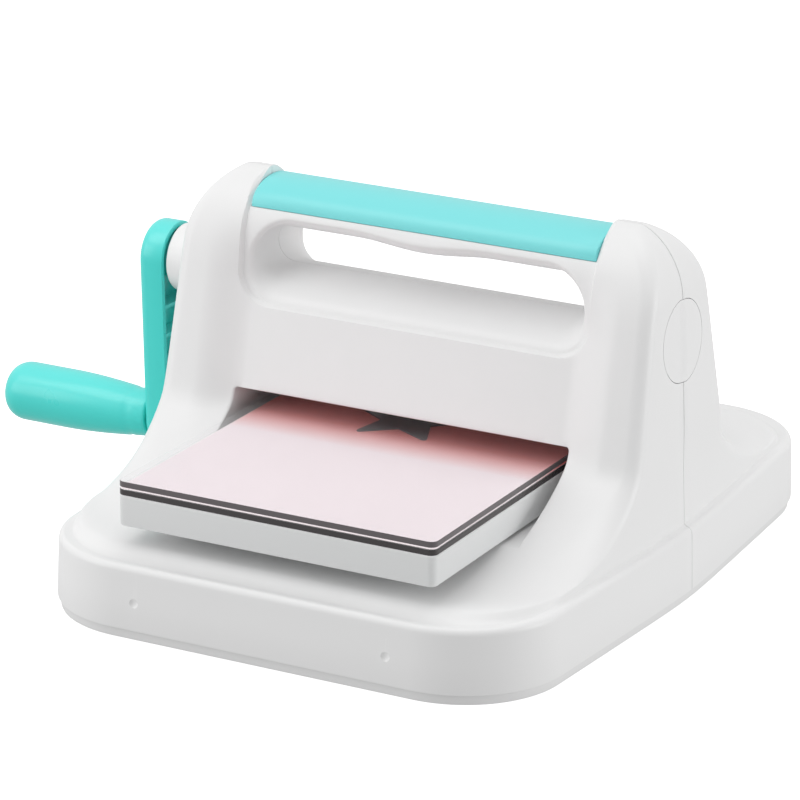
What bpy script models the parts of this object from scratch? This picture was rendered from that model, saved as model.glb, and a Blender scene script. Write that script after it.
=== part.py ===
"""Hand cranked die cutting machine with a six inch wide feed channel.

The crank on the left turns a pinion, the pinion turns the upper roller, and a pair of
timing gears turns the lower roller. The two rollers pull a stack of platform, cutting
pads, card and die through the channel. +X runs to the right, the stack feeds along Y,
and the origin is on the resting plane below the middle of the rollers.
"""

import math

import bmesh
import bpy
from mathutils import Matrix, Vector

MM = 0.001

# All dimensions below are in millimetres.

# Housing outline
BASE_HALF_WIDTH = 130.3
BASE_HALF_DEPTH = 166.0
BASE_CORNER = 49.0
SIDE_TAPER = 0.063
SHELL_BOTTOM = 6.5
RIDGE_HEIGHT = 36.0
DECK_HALF_WIDTH = 125.4
SIDE_LEAN = 0.048
SHELL_WALL = 2.5
SEAM_GAP = 0.3
ARC_STEPS = 5

# Flare and towers
FLARE_FLOOR = 36.5
FLARE_RISE = 30.0
FLARE_FADE = 36.0
FLARE_START = 50.0
WALL_HALF_DEPTH = 31.5
WALL_LEAN = 0.213
WALL_BLEND = 1.5
CROWN_START = 134.0
TOWER_TOP = 172.8
CROWN_POWER = 2.5
SHOULDER_START = 140.0
TOP_HALF_WIDTH = 98.0
TOWER_CORNER = 7.0
PANEL_SETBACK = 6.0
PANEL_EDGE = 80.0
TOWER_EDGE = 104.0

# Feed channel and hand opening
CHANNEL_HALF_WIDTH = 84.7
CHANNEL_FLOOR = 47.0
CHANNEL_TOP = 77.6
LINER = 2.8
HAND_HALF_WIDTH = 84.0
HAND_RIM = 116.0
HAND_CREST = 129.0
UNDER_DROP = 10.2
UNDER_HALF = 22.0
UNDER_EDGE = 154.5
HAND_CORNER = 14.0
HAND_RIM_DEPTH = 28.5
FINGER_BUMP = 2.4
FINGER_BUMP_HALF = 35.0
SLOT_FLOOR = 153.0
SLOT_HALF = 12.0
COVER_SEAT = 158.3
TOWER_INNER = 87.0
COVER_HALF_DEPTH = 19.4
COVER_HALF_LENGTH = 86.7
COVER_RISE = 10.8
COLLAR_RADIUS = 16.0
CAP_RADIUS = 18.8

# Base
PLATE_BOTTOM = 1.6
PLATE_TOP = 6.2
PLATE_INSET = 1.5
POCKET_FLOOR = 4.8
FOOT_RADIUS = 9.0
FOOT_RECESS = 3.2
FOOT_X = 92.0
FOOT_Y = 118.0
REST_PAD_RADIUS = 20.0
POST_RADIUS = 4.5
POST_X = 104.0
POST_Y = 96.0
TOWER_POST_X = 104.0
TOWER_POST_Z = 149.0

# Rollers, gears and crank
ROLLER_RADIUS = 15.0
ROLLER_HALF_LENGTH = 82.0
JOURNAL_RADIUS = 6.0
JOURNAL_END = 114.0
SHAFT_RADIUS = 5.0
BUSH_RADIUS = 9.0
UPPER_AXIS = 84.75
LOWER_AXIS = 33.55
CRANK_AXIS = 122.25
DRIVE_MODULE = 1.5
PINION_TEETH = 15
DRIVE_TEETH = 35
TIMING_MODULE = 1.6
TIMING_TEETH = 32
GEAR_INNER = 104.0
GEAR_OUTER = 112.0
TOOTH_PLAY = 0.45
PRESSURE_ANGLE = math.radians(20.0)
SIDE_PLATE_INNER = 94.0
SIDE_PLATE_OUTER = 97.0
FIT_GAP = 0.3
CRANK_THROW = 80.5
ARM_INNER = -136.5
ARM_OUTER = -150.0
HUB_RADIUS = 16.5
ARM_END_RADIUS = 12.5
ARM_WALL = 2.5
SPINDLE_RADIUS = 4.0
GRIP_START = -150.8
GRIP_END = -230.2

# Stack
STACK_HALF_WIDTH = 78.0
STACK_FRONT = -152.4
STACK_REAR = 72.6
STACK_CORNER = 3.5
PLATFORM_BOTTOM = 48.75
PLATFORM_TOP = 62.8
PAD_THICKNESS = 2.8
LOWER_PAD_BOTTOM = 63.0
UPPER_PAD_BOTTOM = 66.65
CARD_BOTTOM = 65.85
CARD_THICKNESS = 0.25
CARD_INSET = 0.4
DIE_BOTTOM = 66.15
DIE_THICKNESS = 0.35
DIE_CENTRE = (-9.0, -11.5)
DIE_RADIUS = 27.8
DIE_TURN = 6.7


# ---------------------------------------------------------------- scene and materials

def clear_scene():
    """Remove every object that is in the file."""
    for item in list(bpy.data.objects):
        bpy.data.objects.remove(item, do_unlink=True)


def material(name, colour, roughness, metallic=0.0):
    """Return a Principled material."""
    made = bpy.data.materials.new(name)
    made.use_nodes = True
    shader = made.node_tree.nodes["Principled BSDF"]
    shader.inputs["Base Color"].default_value = (*colour, 1.0)
    shader.inputs["Roughness"].default_value = roughness
    shader.inputs["Metallic"].default_value = metallic
    return made


# ---------------------------------------------------------------- solids in millimetres

def solid(mesh_data):
    """Turn a closed bmesh into a plain object, with its faces pointing out."""
    bmesh.ops.recalc_face_normals(mesh_data, faces=mesh_data.faces)
    mesh = bpy.data.meshes.new("solid")
    mesh_data.to_mesh(mesh)
    mesh_data.free()
    made = bpy.data.objects.new("solid", mesh)
    bpy.context.scene.collection.objects.link(made)
    return made


def combine(target, tool, operation):
    """Apply one exact Boolean to the target and remove the tool."""
    modifier = target.modifiers.new("shape", "BOOLEAN")
    modifier.operation = operation
    modifier.solver = "EXACT"
    modifier.object = tool
    graph = bpy.context.evaluated_depsgraph_get()
    result = bpy.data.meshes.new_from_object(target.evaluated_get(graph))
    target.modifiers.clear()
    target.data = result
    bpy.data.objects.remove(tool, do_unlink=True)
    return target


def cut(target, *tools):
    """Cut each tool out of the target."""
    for tool in tools:
        combine(target, tool, "DIFFERENCE")
    return target


def join(target, *tools):
    """Unite each tool with the target."""
    for tool in tools:
        combine(target, tool, "UNION")
    return target


def to_space(axis, first, second, along):
    """Place a point of an outline that is drawn across the given axis."""
    if axis == "X":
        return (along, first, second)
    if axis == "Y":
        return (first, along, second)
    return (first, second, along)


def loft(rings):
    """Skin a list of rings, each with the same number of points, and cap both ends."""
    mesh_data = bmesh.new()
    loops = [[mesh_data.verts.new(point) for point in ring] for ring in rings]
    count = len(rings[0])
    for low, high in zip(loops, loops[1:]):
        for i in range(count):
            j = (i + 1) % count
            mesh_data.faces.new((low[i], low[j], high[j], high[i]))
    mesh_data.faces.new(loops[0])
    mesh_data.faces.new(loops[-1])
    return solid(mesh_data)


def prism(outline, low, high, axis="Z"):
    """Extrude an outline along an axis."""
    return loft([[to_space(axis, a, b, along) for a, b in outline] for along in (low, high)])


def box(low, high):
    """Return a box between two corners."""
    outline = [(low[0], low[1]), (high[0], low[1]), (high[0], high[1]), (low[0], high[1])]
    return prism(outline, low[2], high[2])


def circle(radius, centre=(0.0, 0.0), steps=24):
    """Return the points of a circle."""
    angles = [2.0 * math.pi * i / steps for i in range(steps)]
    return [(centre[0] + radius * math.cos(a), centre[1] + radius * math.sin(a)) for a in angles]


def rod(radius, low, high, centre=(0.0, 0.0), axis="X", steps=24):
    """Return a round bar along an axis; centre is across the axis."""
    return prism(circle(radius, centre, steps), low, high, axis)


def turned(profile, centre, axis="X", steps=24):
    """Turn a profile of (along, radius) points round an axis, from axis to axis."""
    mesh_data = bmesh.new()
    loops = []
    for along, radius in profile:
        points = circle(radius, centre, steps) if radius > 0.0 else [centre]
        loops.append([mesh_data.verts.new(to_space(axis, a, b, along)) for a, b in points])
    for low, high in zip(loops, loops[1:]):
        for i in range(steps):
            j = (i + 1) % steps
            if len(low) == 1:
                mesh_data.faces.new((low[0], high[j], high[i]))
            elif len(high) == 1:
                mesh_data.faces.new((low[i], low[j], high[0]))
            else:
                mesh_data.faces.new((low[i], low[j], high[j], high[i]))
    return solid(mesh_data)


def ring(inner, outer, low, high, centre, axis="X", steps=24):
    """Return a plain ring."""
    bar = rod(outer, low, high, centre, axis, steps)
    return cut(bar, rod(inner, low - 1.0, high + 1.0, centre, axis, steps))


def rounded_rectangle(half_a, half_b, radius, steps=4):
    """Return a rectangle outline with round corners, centred on zero."""
    points = []
    for quarter in range(4):
        start = quarter * math.pi / 2.0
        sign_a = 1.0 if quarter in (0, 3) else -1.0
        sign_b = 1.0 if quarter in (0, 1) else -1.0
        for i in range(steps + 1):
            angle = start + math.pi / 2.0 * i / steps
            a = sign_a * (half_a - radius) + radius * math.cos(angle)
            b = sign_b * (half_b - radius) + radius * math.sin(angle)
            points.append((a, b))
    return points


def publish(name, item, finish, origin=(0.0, 0.0, 0.0), parent=None, smooth=35.0):
    """Name a finished solid, scale it to metres and put its origin in place."""
    centre = Vector(origin)
    item.data.transform(Matrix.Scale(MM, 4) @ Matrix.Translation(-centre))
    item.data.shade_smooth()
    item.data.set_sharp_from_angle(angle=math.radians(smooth))
    item.data.materials.clear()
    item.data.materials.append(finish)
    item.name = name
    item.data.name = name
    item.location = centre * MM
    if parent is not None:
        item.parent = parent
        item.location = (centre - Vector(parent["origin"])) * MM
    item["origin"] = origin
    return item


# ---------------------------------------------------------------- housing surface

def smooth_step(value):
    """Return an eased value between 0 and 1."""
    value = min(max(value, 0.0), 1.0)
    return value * value * (3.0 - 2.0 * value)


def half_width(height):
    """Half width of the housing above its ridge, on the seam."""
    if height <= SHOULDER_START:
        return DECK_HALF_WIDTH - SIDE_LEAN * (height - RIDGE_HEIGHT - 3.0)
    share = min((height - SHOULDER_START) / (TOWER_TOP - SHOULDER_START), 1.0)
    widest = half_width(SHOULDER_START)
    return TOP_HALF_WIDTH + (widest - TOP_HALF_WIDTH) * (1.0 - share ** 2) ** (2.0 / 3.0)


def half_depth(height):
    """Half depth of the housing above its ridge: a flare that runs up into the towers."""
    wall = WALL_HALF_DEPTH + WALL_LEAN * (CROWN_START - height)
    if height > CROWN_START:
        share = min((height - CROWN_START) / (TOWER_TOP - CROWN_START), 1.0)
        return wall * math.sqrt(1.0 - share ** CROWN_POWER)
    flare = FLARE_START - FLARE_FADE * math.log((height - FLARE_FLOOR) / FLARE_RISE)
    middle = (flare + wall) / 2.0
    return middle + math.hypot((flare - wall) / 2.0, WALL_BLEND)


def corner_radius(depth):
    """Plan radius of the corners, from the tight towers to the wide base corners."""
    share = (depth - 45.0) / (BASE_HALF_DEPTH - 45.0)
    return TOWER_CORNER + (BASE_CORNER - TOWER_CORNER) * min(max(share, 0.0), 1.0)


def setback(height):
    """How far the panel between the towers lies behind their front faces."""
    rise = smooth_step((height - 48.0) / 26.0)
    fade = 1.0 - 0.65 * smooth_step((height - 125.0) / 35.0)
    return min(PANEL_SETBACK * rise * fade, half_depth(height) * 0.4)


def section(height, width, depth, radius, panel, steps=ARC_STEPS):
    """One level outline of the housing, going round from the right seam."""
    quarter = quarter_section(width, depth, radius, panel, steps)
    right_front = [(x, -y) for x, y in quarter]
    left_front = [(-x, -y) for x, y in reversed(quarter)]
    left_rear = [(-x, y) for x, y in quarter[1:]]
    right_rear = [(x, y) for x, y in reversed(quarter[1:])]
    middle = depth - panel
    outline = right_front + [(0.0, -middle)] + left_front + left_rear + [(0.0, middle)] + right_rear
    return [(x, y, height) for x, y in outline]


def quarter_section(width, depth, radius, panel, steps):
    """One quarter of a level outline, from the right seam to the inner edge of the tower."""
    radius = min(radius, depth * 0.8)
    slant = math.atan(SIDE_TAPER)
    centre_y = depth - radius
    centre_x = width - SIDE_TAPER * centre_y - radius / math.cos(slant)
    quarter = [(width, 0.0)]
    for i in range(steps + 1):
        angle = slant + (math.pi / 2.0 - slant) * i / steps
        quarter.append((centre_x + radius * math.cos(angle), centre_y + radius * math.sin(angle)))
    outer_edge = min(TOWER_EDGE, centre_x - 1.0)
    inner_edge = min(PANEL_EDGE, outer_edge - 12.0)
    for share in (1.0, 0.5, 0.0):
        edge = inner_edge + (outer_edge - inner_edge) * share
        quarter.append((edge, depth - panel * smooth_step(1.0 - share)))
    return quarter


def skirt_sections(inset):
    """Levels of the outer wall of the base, up over its rounded ridge."""
    levels = (
        (SHELL_BOTTOM, 0.0), (RIDGE_HEIGHT - 3.0, 1.0), (RIDGE_HEIGHT - 1.0, 1.6),
        (RIDGE_HEIGHT - 0.2, 2.6), (RIDGE_HEIGHT + 0.1, 3.8),
    )
    for height, drop in levels:
        width = BASE_HALF_WIDTH - drop - inset
        depth = BASE_HALF_DEPTH - drop - inset
        yield section(height, width, depth, BASE_CORNER - drop - inset, 0.0)


def body_heights():
    """Levels above the ridge, closer together where the surface turns."""
    deck = [37.6, 38.8, 41.0, 45.0, 50.0, 57.0, 65.0, 73.0, 82.0]
    wall = [100.0, CROWN_START, SHOULDER_START, 149.0, 157.0]
    crown = [163.0, 167.5, 170.6, TOWER_TOP - 0.3]
    return deck + wall + crown


def outer_body():
    """The whole outer form of the housing as one solid."""
    rings = list(skirt_sections(0.0))
    for height in body_heights():
        depth = half_depth(height)
        ridge_depth = BASE_HALF_DEPTH - 6.5
        depth = min(depth, ridge_depth)
        width = half_width(height)
        rings.append(section(height, width, depth, corner_radius(depth), setback(height)))
    return loft(rings)


def inner_body():
    """The hollow inside the housing, open below."""
    depth = BASE_HALF_DEPTH - SHELL_WALL - 1.0
    width = BASE_HALF_WIDTH - SHELL_WALL - 1.0
    rings = [section(height, width, depth, BASE_CORNER - SHELL_WALL, 0.0, 3)
             for height in (0.0, RIDGE_HEIGHT - 5.0)]
    heights = (38.3, 40.0, 45.0, 53.0, 63.0, 76.0, 100.0, CROWN_START, SHOULDER_START, 149.0,
               157.0, 164.0)
    for outside in heights:
        depth = half_depth(outside)
        inside_depth = min(depth, BASE_HALF_DEPTH - 8.0) - setback(outside) - SHELL_WALL
        inside_width = half_width(outside) - SHELL_WALL
        radius = max(corner_radius(depth) - SHELL_WALL, 3.0)
        height = outside - SHELL_WALL
        rings.append(section(height, inside_width, inside_depth, radius, 0.0, 3))
    return loft(rings)


# ---------------------------------------------------------------- housing pieces

def hump(depth, drop=0.0):
    """Height of the rounded bridge floor under the handle, at a distance from the seam."""
    rise = HAND_CREST - HAND_RIM
    radius = (HAND_RIM_DEPTH ** 2 + rise ** 2) / (2.0 * rise)
    reach = min(abs(depth), HAND_RIM_DEPTH)
    return HAND_CREST - radius + math.sqrt(radius ** 2 - reach ** 2) - drop


def underside(depth):
    """Height of the rounded underside of the handle, at a distance from the seam."""
    reach = min(abs(depth) / UNDER_HALF, 1.0)
    return min(COVER_SEAT - UNDER_DROP * math.sqrt(1.0 - reach ** 2), UNDER_EDGE)


def bridge_block():
    """The region from the bridge floor upwards that stays solid between the towers."""
    steps = [HAND_RIM_DEPTH * i / 6.0 for i in range(-6, 7)]
    floor = [(y, hump(y, SHELL_WALL)) for y in steps]
    outline = [(-80.0, 200.0), (-80.0, floor[0][1])] + floor + [(80.0, floor[-1][1]), (80.0, 200.0)]
    half = TOWER_INNER + SHELL_WALL
    return prism(outline, -half, half, "X")


def hand_section(depth):
    """Outline of the hand opening at one distance from the seam."""
    low = hump(depth)
    high = underside(depth)
    radius = min(HAND_CORNER, (high - low) * 0.48)
    arc = [math.pi / 2.0 * i / 4.0 for i in range(5)]
    inner = HAND_HALF_WIDTH - radius
    right_low = [(inner + radius * math.cos(a), low + radius - radius * math.sin(a)) for a in arc]
    right_top = [(inner + radius * math.cos(a), high - radius + radius * math.sin(a))
                 for a in reversed(arc)]
    floor = [(x, low) for x in (30.0, 0.0, -30.0)]
    left_low = [(-x, z) for x, z in reversed(right_low)]
    left_top = [(-x, z) for x, z in reversed(right_top)]
    bump = []
    for i in range(-4, 5):
        drop = FINGER_BUMP * math.cos(math.pi * i / 8.0) ** 2
        bump.append((FINGER_BUMP_HALF * i / 4.0, high - drop))
    outline = right_low + floor + left_low + left_top + bump + right_top
    return [(x, depth, z) for x, z in outline]


def hand_opening():
    """The space for the hand, right through below the handle."""
    stations = [-60.0, -HAND_RIM_DEPTH, -20.4, -17.0, -12.0, -6.0, 0.0]
    stations += [-y for y in reversed(stations[:-1])]
    return loft([hand_section(y) for y in stations])


def post_places():
    """Places of the posts that the base screws go into."""
    return [(x * POST_X, y * POST_Y) for x in (-1.0, 1.0) for y in (-1.0, 1.0)]


def housing_cavity():
    """The hollow of the housing less the liners and posts that stand in it."""
    hollow = inner_body()
    half = CHANNEL_HALF_WIDTH + LINER
    channel = box((-half, -250.0, CHANNEL_FLOOR - LINER), (half, 250.0, CHANNEL_TOP + LINER))
    cut(hollow, channel, bridge_block())
    for x, y in post_places():
        cut(hollow, rod(POST_RADIUS, -5.0, 60.0, (x, y), "Z", 10))
    for x in (-TOWER_POST_X, TOWER_POST_X):
        cut(hollow, rod(POST_RADIUS, -60.0, 60.0, (x, TOWER_POST_Z), "Y", 10))
    return hollow


def housing_half(side):
    """One hollow half of the housing, in front of the seam or behind it."""
    shell = outer_body()
    low, high = sorted((side * SEAM_GAP / 2.0, side * -250.0))
    cut(shell, box((-200.0, low, -20.0), (200.0, high, 220.0)))
    cut(shell, housing_cavity())
    cut(shell, box((-CHANNEL_HALF_WIDTH, -260.0, CHANNEL_FLOOR),
                   (CHANNEL_HALF_WIDTH, 260.0, CHANNEL_TOP)))
    slot_half = ROLLER_RADIUS + 3.0
    slot_side = CHANNEL_HALF_WIDTH + LINER + 1.0
    cut(shell, box((-slot_side, -slot_half, CHANNEL_TOP - 3.0), (slot_side, slot_half, 86.0)))
    cut(shell, box((-ROLLER_HALF_LENGTH - 2.0, -slot_half, 40.0),
                   (ROLLER_HALF_LENGTH + 2.0, slot_half, CHANNEL_FLOOR + 1.0)))
    cut(shell, hand_opening())
    cut(shell, box((-TOWER_INNER, -60.0, COVER_SEAT), (TOWER_INNER, 60.0, 200.0)))
    cut(shell, box((-TOWER_INNER + 3.0, -SLOT_HALF, SLOT_FLOOR),
                   (TOWER_INNER - 3.0, SLOT_HALF, 165.0)))
    cut(shell, rod(COLLAR_RADIUS + FIT_GAP, -140.0, -112.0, (0.0, CRANK_AXIS)))
    cut(shell, rod(CAP_RADIUS + FIT_GAP, 112.0, 140.0, (0.0, CRANK_AXIS)))
    for x, y in post_places():
        if y * side > 0.0:
            cut(shell, rod(1.5, 0.0, 24.0, (x, y), "Z", 8))
    for x in (-TOWER_POST_X, TOWER_POST_X):
        cut(shell, rod(1.5, -14.0, 60.0, (x, TOWER_POST_Z), "Y", 8))
        if side > 0.0:
            cut(shell, rod(3.2, 16.0, 60.0, (x, TOWER_POST_Z), "Y", 10))
    return shell


def make_shells(finish):
    """Front and rear shells, which meet on a seam at y = 0."""
    publish("front_shell", housing_half(-1.0), finish, smooth=30.0)
    publish("rear_shell", housing_half(1.0), finish, smooth=30.0)


def make_side_cap(finish):
    """Round cap over the end of the roller frame, flush with the right tower."""
    cap = rod(CAP_RADIUS, 112.0, 140.0, (0.0, CRANK_AXIS))
    combine(cap, outer_body(), "INTERSECT")
    cut(cap, box((100.0, -40.0, 80.0), (117.0, 40.0, 160.0)))
    publish("side_cap", cap, finish)


def make_crank_collar(finish):
    """Round collar that guides the crank shaft where it leaves the left tower."""
    centre = (0.0, CRANK_AXIS)
    collar = turned(((-134.8, 0.0), (-134.8, 15.0), (-133.8, COLLAR_RADIUS),
                     (-116.0, COLLAR_RADIUS), (-116.0, 0.0)), centre)
    cut(collar, rod(SHAFT_RADIUS + FIT_GAP, -140.0, -110.0, centre))
    publish("crank_collar", collar, finish)


def cover_outline(half, low, rise, steps=10):
    """Half round outline of the handle cover."""
    outline = []
    for i in range(steps + 1):
        angle = math.pi * i / steps
        outline.append((half * math.cos(angle), low + rise * math.sin(angle) ** 0.9))
    return outline


def make_handle_cover(finish):
    """Arched grip cover between the towers, hollow and open below."""
    cover = prism(cover_outline(COVER_HALF_DEPTH, COVER_SEAT + FIT_GAP, COVER_RISE),
                  -COVER_HALF_LENGTH, COVER_HALF_LENGTH, "X")
    inside = prism(cover_outline(COVER_HALF_DEPTH - 2.5, COVER_SEAT - 1.0, COVER_RISE - 1.3),
                   -COVER_HALF_LENGTH + 2.5, COVER_HALF_LENGTH - 2.5, "X")
    publish("handle_cover", cut(cover, inside), finish)


def make_base_plate(finish):
    """Flat plate that closes the housing below, with a raised pad to stand on."""
    width = BASE_HALF_WIDTH - PLATE_INSET
    depth = BASE_HALF_DEPTH - PLATE_INSET
    rings = [section(z, width, depth, BASE_CORNER - PLATE_INSET, 0.0)
             for z in (PLATE_BOTTOM, PLATE_TOP)]
    plate = loft(rings)
    join(plate, rod(REST_PAD_RADIUS, 0.0, PLATE_BOTTOM + 1.0, axis="Z"))
    cut(plate, box((-119.0, -62.0, POCKET_FLOOR), (119.0, 62.0, 20.0)))
    for x, y in foot_places():
        cut(plate, rod(FOOT_RADIUS + FIT_GAP, -1.0, FOOT_RECESS, (x, y), "Z", 16))
    for x, y in post_places():
        cut(plate, rod(4.0, -1.0, 3.4, (x, y), "Z", 10))
        cut(plate, rod(1.8, -1.0, 20.0, (x, y), "Z", 8))
    publish("base_plate", plate, finish)


def foot_places():
    """Places of the four feet."""
    return [(x * FOOT_X, y * FOOT_Y) for y in (-1.0, 1.0) for x in (-1.0, 1.0)]


def make_feet(finish):
    """Four round rubber feet, sunk in recesses of the base plate."""
    names = ("foot_front_left", "foot_front_right", "foot_rear_left", "foot_rear_right")
    top = FOOT_RECESS - FIT_GAP
    for name, place in zip(names, foot_places()):
        profile = ((0.0, 0.0), (0.0, FOOT_RADIUS - 0.6), (0.6, FOOT_RADIUS),
                   (top, FOOT_RADIUS), (top, 0.0))
        publish(name, turned(profile, place, "Z", 16), finish, (place[0], place[1], 0.0))


def make_screws(finish):
    """Screws that hold the base plate, and screws that hold the shells together."""
    corners = ("front_left", "rear_left", "front_right", "rear_right")
    for corner, place in zip(corners, post_places()):
        profile = ((1.8, 0.0), (1.8, 3.4), (3.1, 3.4), (3.1, 1.2), (18.0, 1.2), (18.0, 0.0))
        screw = turned(profile, place, "Z", 8)
        publish("base_screw_" + corner, screw, finish, (place[0], place[1], 0.0))
    for name, x in (("left", -TOWER_POST_X), ("right", TOWER_POST_X)):
        profile = ((18.0, 0.0), (18.0, 2.8), (16.3, 2.8), (16.3, 1.2), (-11.0, 1.2), (-11.0, 0.0))
        screw = turned(profile, (x, TOWER_POST_Z), "Y", 8)
        publish("shell_screw_" + name, screw, finish, (x, 0.0, TOWER_POST_Z))


# ---------------------------------------------------------------- roller frame

def side_plate_outline(top, top_half):
    """Outline of a side plate, wide at the foot and narrow at the top."""
    foot = POCKET_FLOOR + FIT_GAP
    right = [(58.0, foot), (58.0, 26.0), (34.0, 56.0), (29.0, 96.0), (top_half, top - 6.0),
             (top_half - 6.0, top)]
    return right + [(-y, z) for y, z in reversed(right)]


def make_side_plates(finish):
    """Steel plates that carry the rollers, one on each side of the channel."""
    places = (("left_side_plate", -1.0, 136.0, 23.0), ("right_side_plate", 1.0, 112.0, 27.0))
    for name, side, top, top_half in places:
        low, high = sorted((side * SIDE_PLATE_INNER, side * SIDE_PLATE_OUTER))
        plate = prism(side_plate_outline(top, top_half), low, high, "X")
        axes = [UPPER_AXIS, LOWER_AXIS] + ([CRANK_AXIS] if side < 0.0 else [])
        for height in axes:
            cut(plate, rod(BUSH_RADIUS + FIT_GAP, low - 1.0, high + 1.0, (0.0, height),
                           steps=16))
        for place in tie_rod_places().values():
            cut(plate, rod(3.0 + FIT_GAP, low - 1.0, high + 1.0, place, steps=10))
        publish(name, plate, finish)


def tie_rod_places():
    """Places of the tie rods in the YZ plane."""
    return {"lower_front": (-48.0, 16.0), "lower_rear": (48.0, 16.0),
            "upper_front": (-21.0, 105.0), "upper_rear": (21.0, 105.0)}


def make_tie_rods(steel):
    """Shouldered rods that tie the side plates together: a head on the left, a nut on the right."""
    for name, place in tie_rod_places().items():
        inner = SIDE_PLATE_INNER - FIT_GAP
        outer = SIDE_PLATE_OUTER + FIT_GAP
        profile = ((-outer - 3.0, 0.0), (-outer - 3.0, 5.0), (-outer, 5.0), (-outer, 3.0),
                   (-inner, 3.0), (-inner, 4.0), (inner, 4.0), (inner, 3.0), (outer + 5.0, 3.0),
                   (outer + 5.0, 0.0))
        publish(name + "_tie_rod", turned(profile, place, steps=10), steel, (0.0, *place))
        nut = prism(circle(5.5, place, 6), outer, outer + 4.0, "X")
        cut(nut, rod(3.0 + FIT_GAP, outer - 1.0, outer + 5.0, place, steps=10))
        publish(name + "_nut", nut, steel, (outer, *place))


def make_bushes(finish):
    """Flanged bushes that the shafts turn in."""
    places = (("upper_left_bush", -1.0, UPPER_AXIS, JOURNAL_RADIUS),
              ("upper_right_bush", 1.0, UPPER_AXIS, JOURNAL_RADIUS),
              ("lower_left_bush", -1.0, LOWER_AXIS, JOURNAL_RADIUS),
              ("lower_right_bush", 1.0, LOWER_AXIS, JOURNAL_RADIUS),
              ("crank_bush", -1.0, CRANK_AXIS, SHAFT_RADIUS))
    for name, side, height, shaft in places:
        flange = SIDE_PLATE_OUTER + FIT_GAP
        profile = ((SIDE_PLATE_INNER, 0.0), (SIDE_PLATE_INNER, BUSH_RADIUS),
                   (flange, BUSH_RADIUS), (flange, 11.0), (flange + 2.0, 11.0), (flange + 2.0, 0.0))
        bush = turned([(side * along, radius) for along, radius in profile], (0.0, height), steps=16)
        cut(bush, rod(shaft + FIT_GAP, -120.0, 120.0, (0.0, height), steps=16))
        publish(name, bush, finish)


# ---------------------------------------------------------------- gears and rollers

def tooth_half_angle(teeth, module, radius):
    """Half the angle that an involute tooth covers at a radius."""
    pitch = teeth * module / 2.0
    base = pitch * math.cos(PRESSURE_ANGLE)
    at_pitch = (math.pi * module / 2.0 - TOOTH_PLAY) / (2.0 * pitch)
    pitch_involute = math.tan(PRESSURE_ANGLE) - PRESSURE_ANGLE
    angle = math.acos(min(base / max(radius, base), 1.0))
    return at_pitch + pitch_involute - (math.tan(angle) - angle)


def gear_outline(teeth, module, centre, turn):
    """Outline of a spur gear; turn is the angle of the middle of the first tooth."""
    pitch = teeth * module / 2.0
    root = pitch - 1.2 * module
    tip = pitch + 0.85 * module
    levels = (root, tip)
    points = []
    for tooth in range(teeth):
        middle = turn + 2.0 * math.pi * tooth / teeth
        rising = [(r, middle - tooth_half_angle(teeth, module, r)) for r in levels]
        falling = [(r, middle + tooth_half_angle(teeth, module, r)) for r in reversed(levels)]
        for radius, angle in rising + falling:
            points.append((centre[0] + radius * math.cos(angle),
                           centre[1] + radius * math.sin(angle)))
    return points


def gear(teeth, module, low, high, height, turn, bore, web=0.0):
    """A spur gear on a shaft; web is the radius of six holes in a large gear."""
    centre = (0.0, height)
    made = prism(gear_outline(teeth, module, centre, turn), low, high, "X")
    cut(made, rod(bore, low - 1.0, high + 1.0, centre, steps=12))
    if web > 0.0:
        reach = (bore + teeth * module / 2.0) / 2.0 + 0.4
        for i in range(6):
            angle = 2.0 * math.pi * i / 6.0
            place = (reach * math.cos(angle), height + reach * math.sin(angle))
            cut(made, rod(web, low - 1.0, high + 1.0, place, steps=8))
    return made


def make_roller(name, height, steel, parent):
    """A pressure roller with its two journals."""
    barrel = ROLLER_HALF_LENGTH
    profile = ((-JOURNAL_END, 0.0), (-JOURNAL_END, JOURNAL_RADIUS - 0.6),
               (-JOURNAL_END + 0.6, JOURNAL_RADIUS), (-barrel, JOURNAL_RADIUS),
               (-barrel, ROLLER_RADIUS - 0.6), (-barrel + 0.6, ROLLER_RADIUS))
    profile = list(profile) + [(-along, radius) for along, radius in reversed(profile)]
    roller = turned(profile, (0.0, height), steps=32)
    publish(name, roller, steel, (0.0, 0.0, height), parent)


def make_rings(prefix, height, radius, places, finish, parent):
    """Retaining rings that keep what sits on a shaft in place."""
    for name, low in places:
        made = ring(radius + FIT_GAP, radius + 3.0, low, low + 1.2, (0.0, height), steps=10)
        publish(prefix + name, made, finish, (0.0, 0.0, height), parent)


def joint_empty(name, origin, parent=None):
    """An empty on a joint axis, which carries the pieces that turn or slide with it."""
    empty = bpy.data.objects.new(name, None)
    bpy.context.scene.collection.objects.link(empty)
    empty.location = Vector(origin) * MM
    empty["origin"] = origin
    if parent is not None:
        empty.parent = parent
        empty.location = (Vector(origin) - Vector(parent["origin"])) * MM
    return empty


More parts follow.
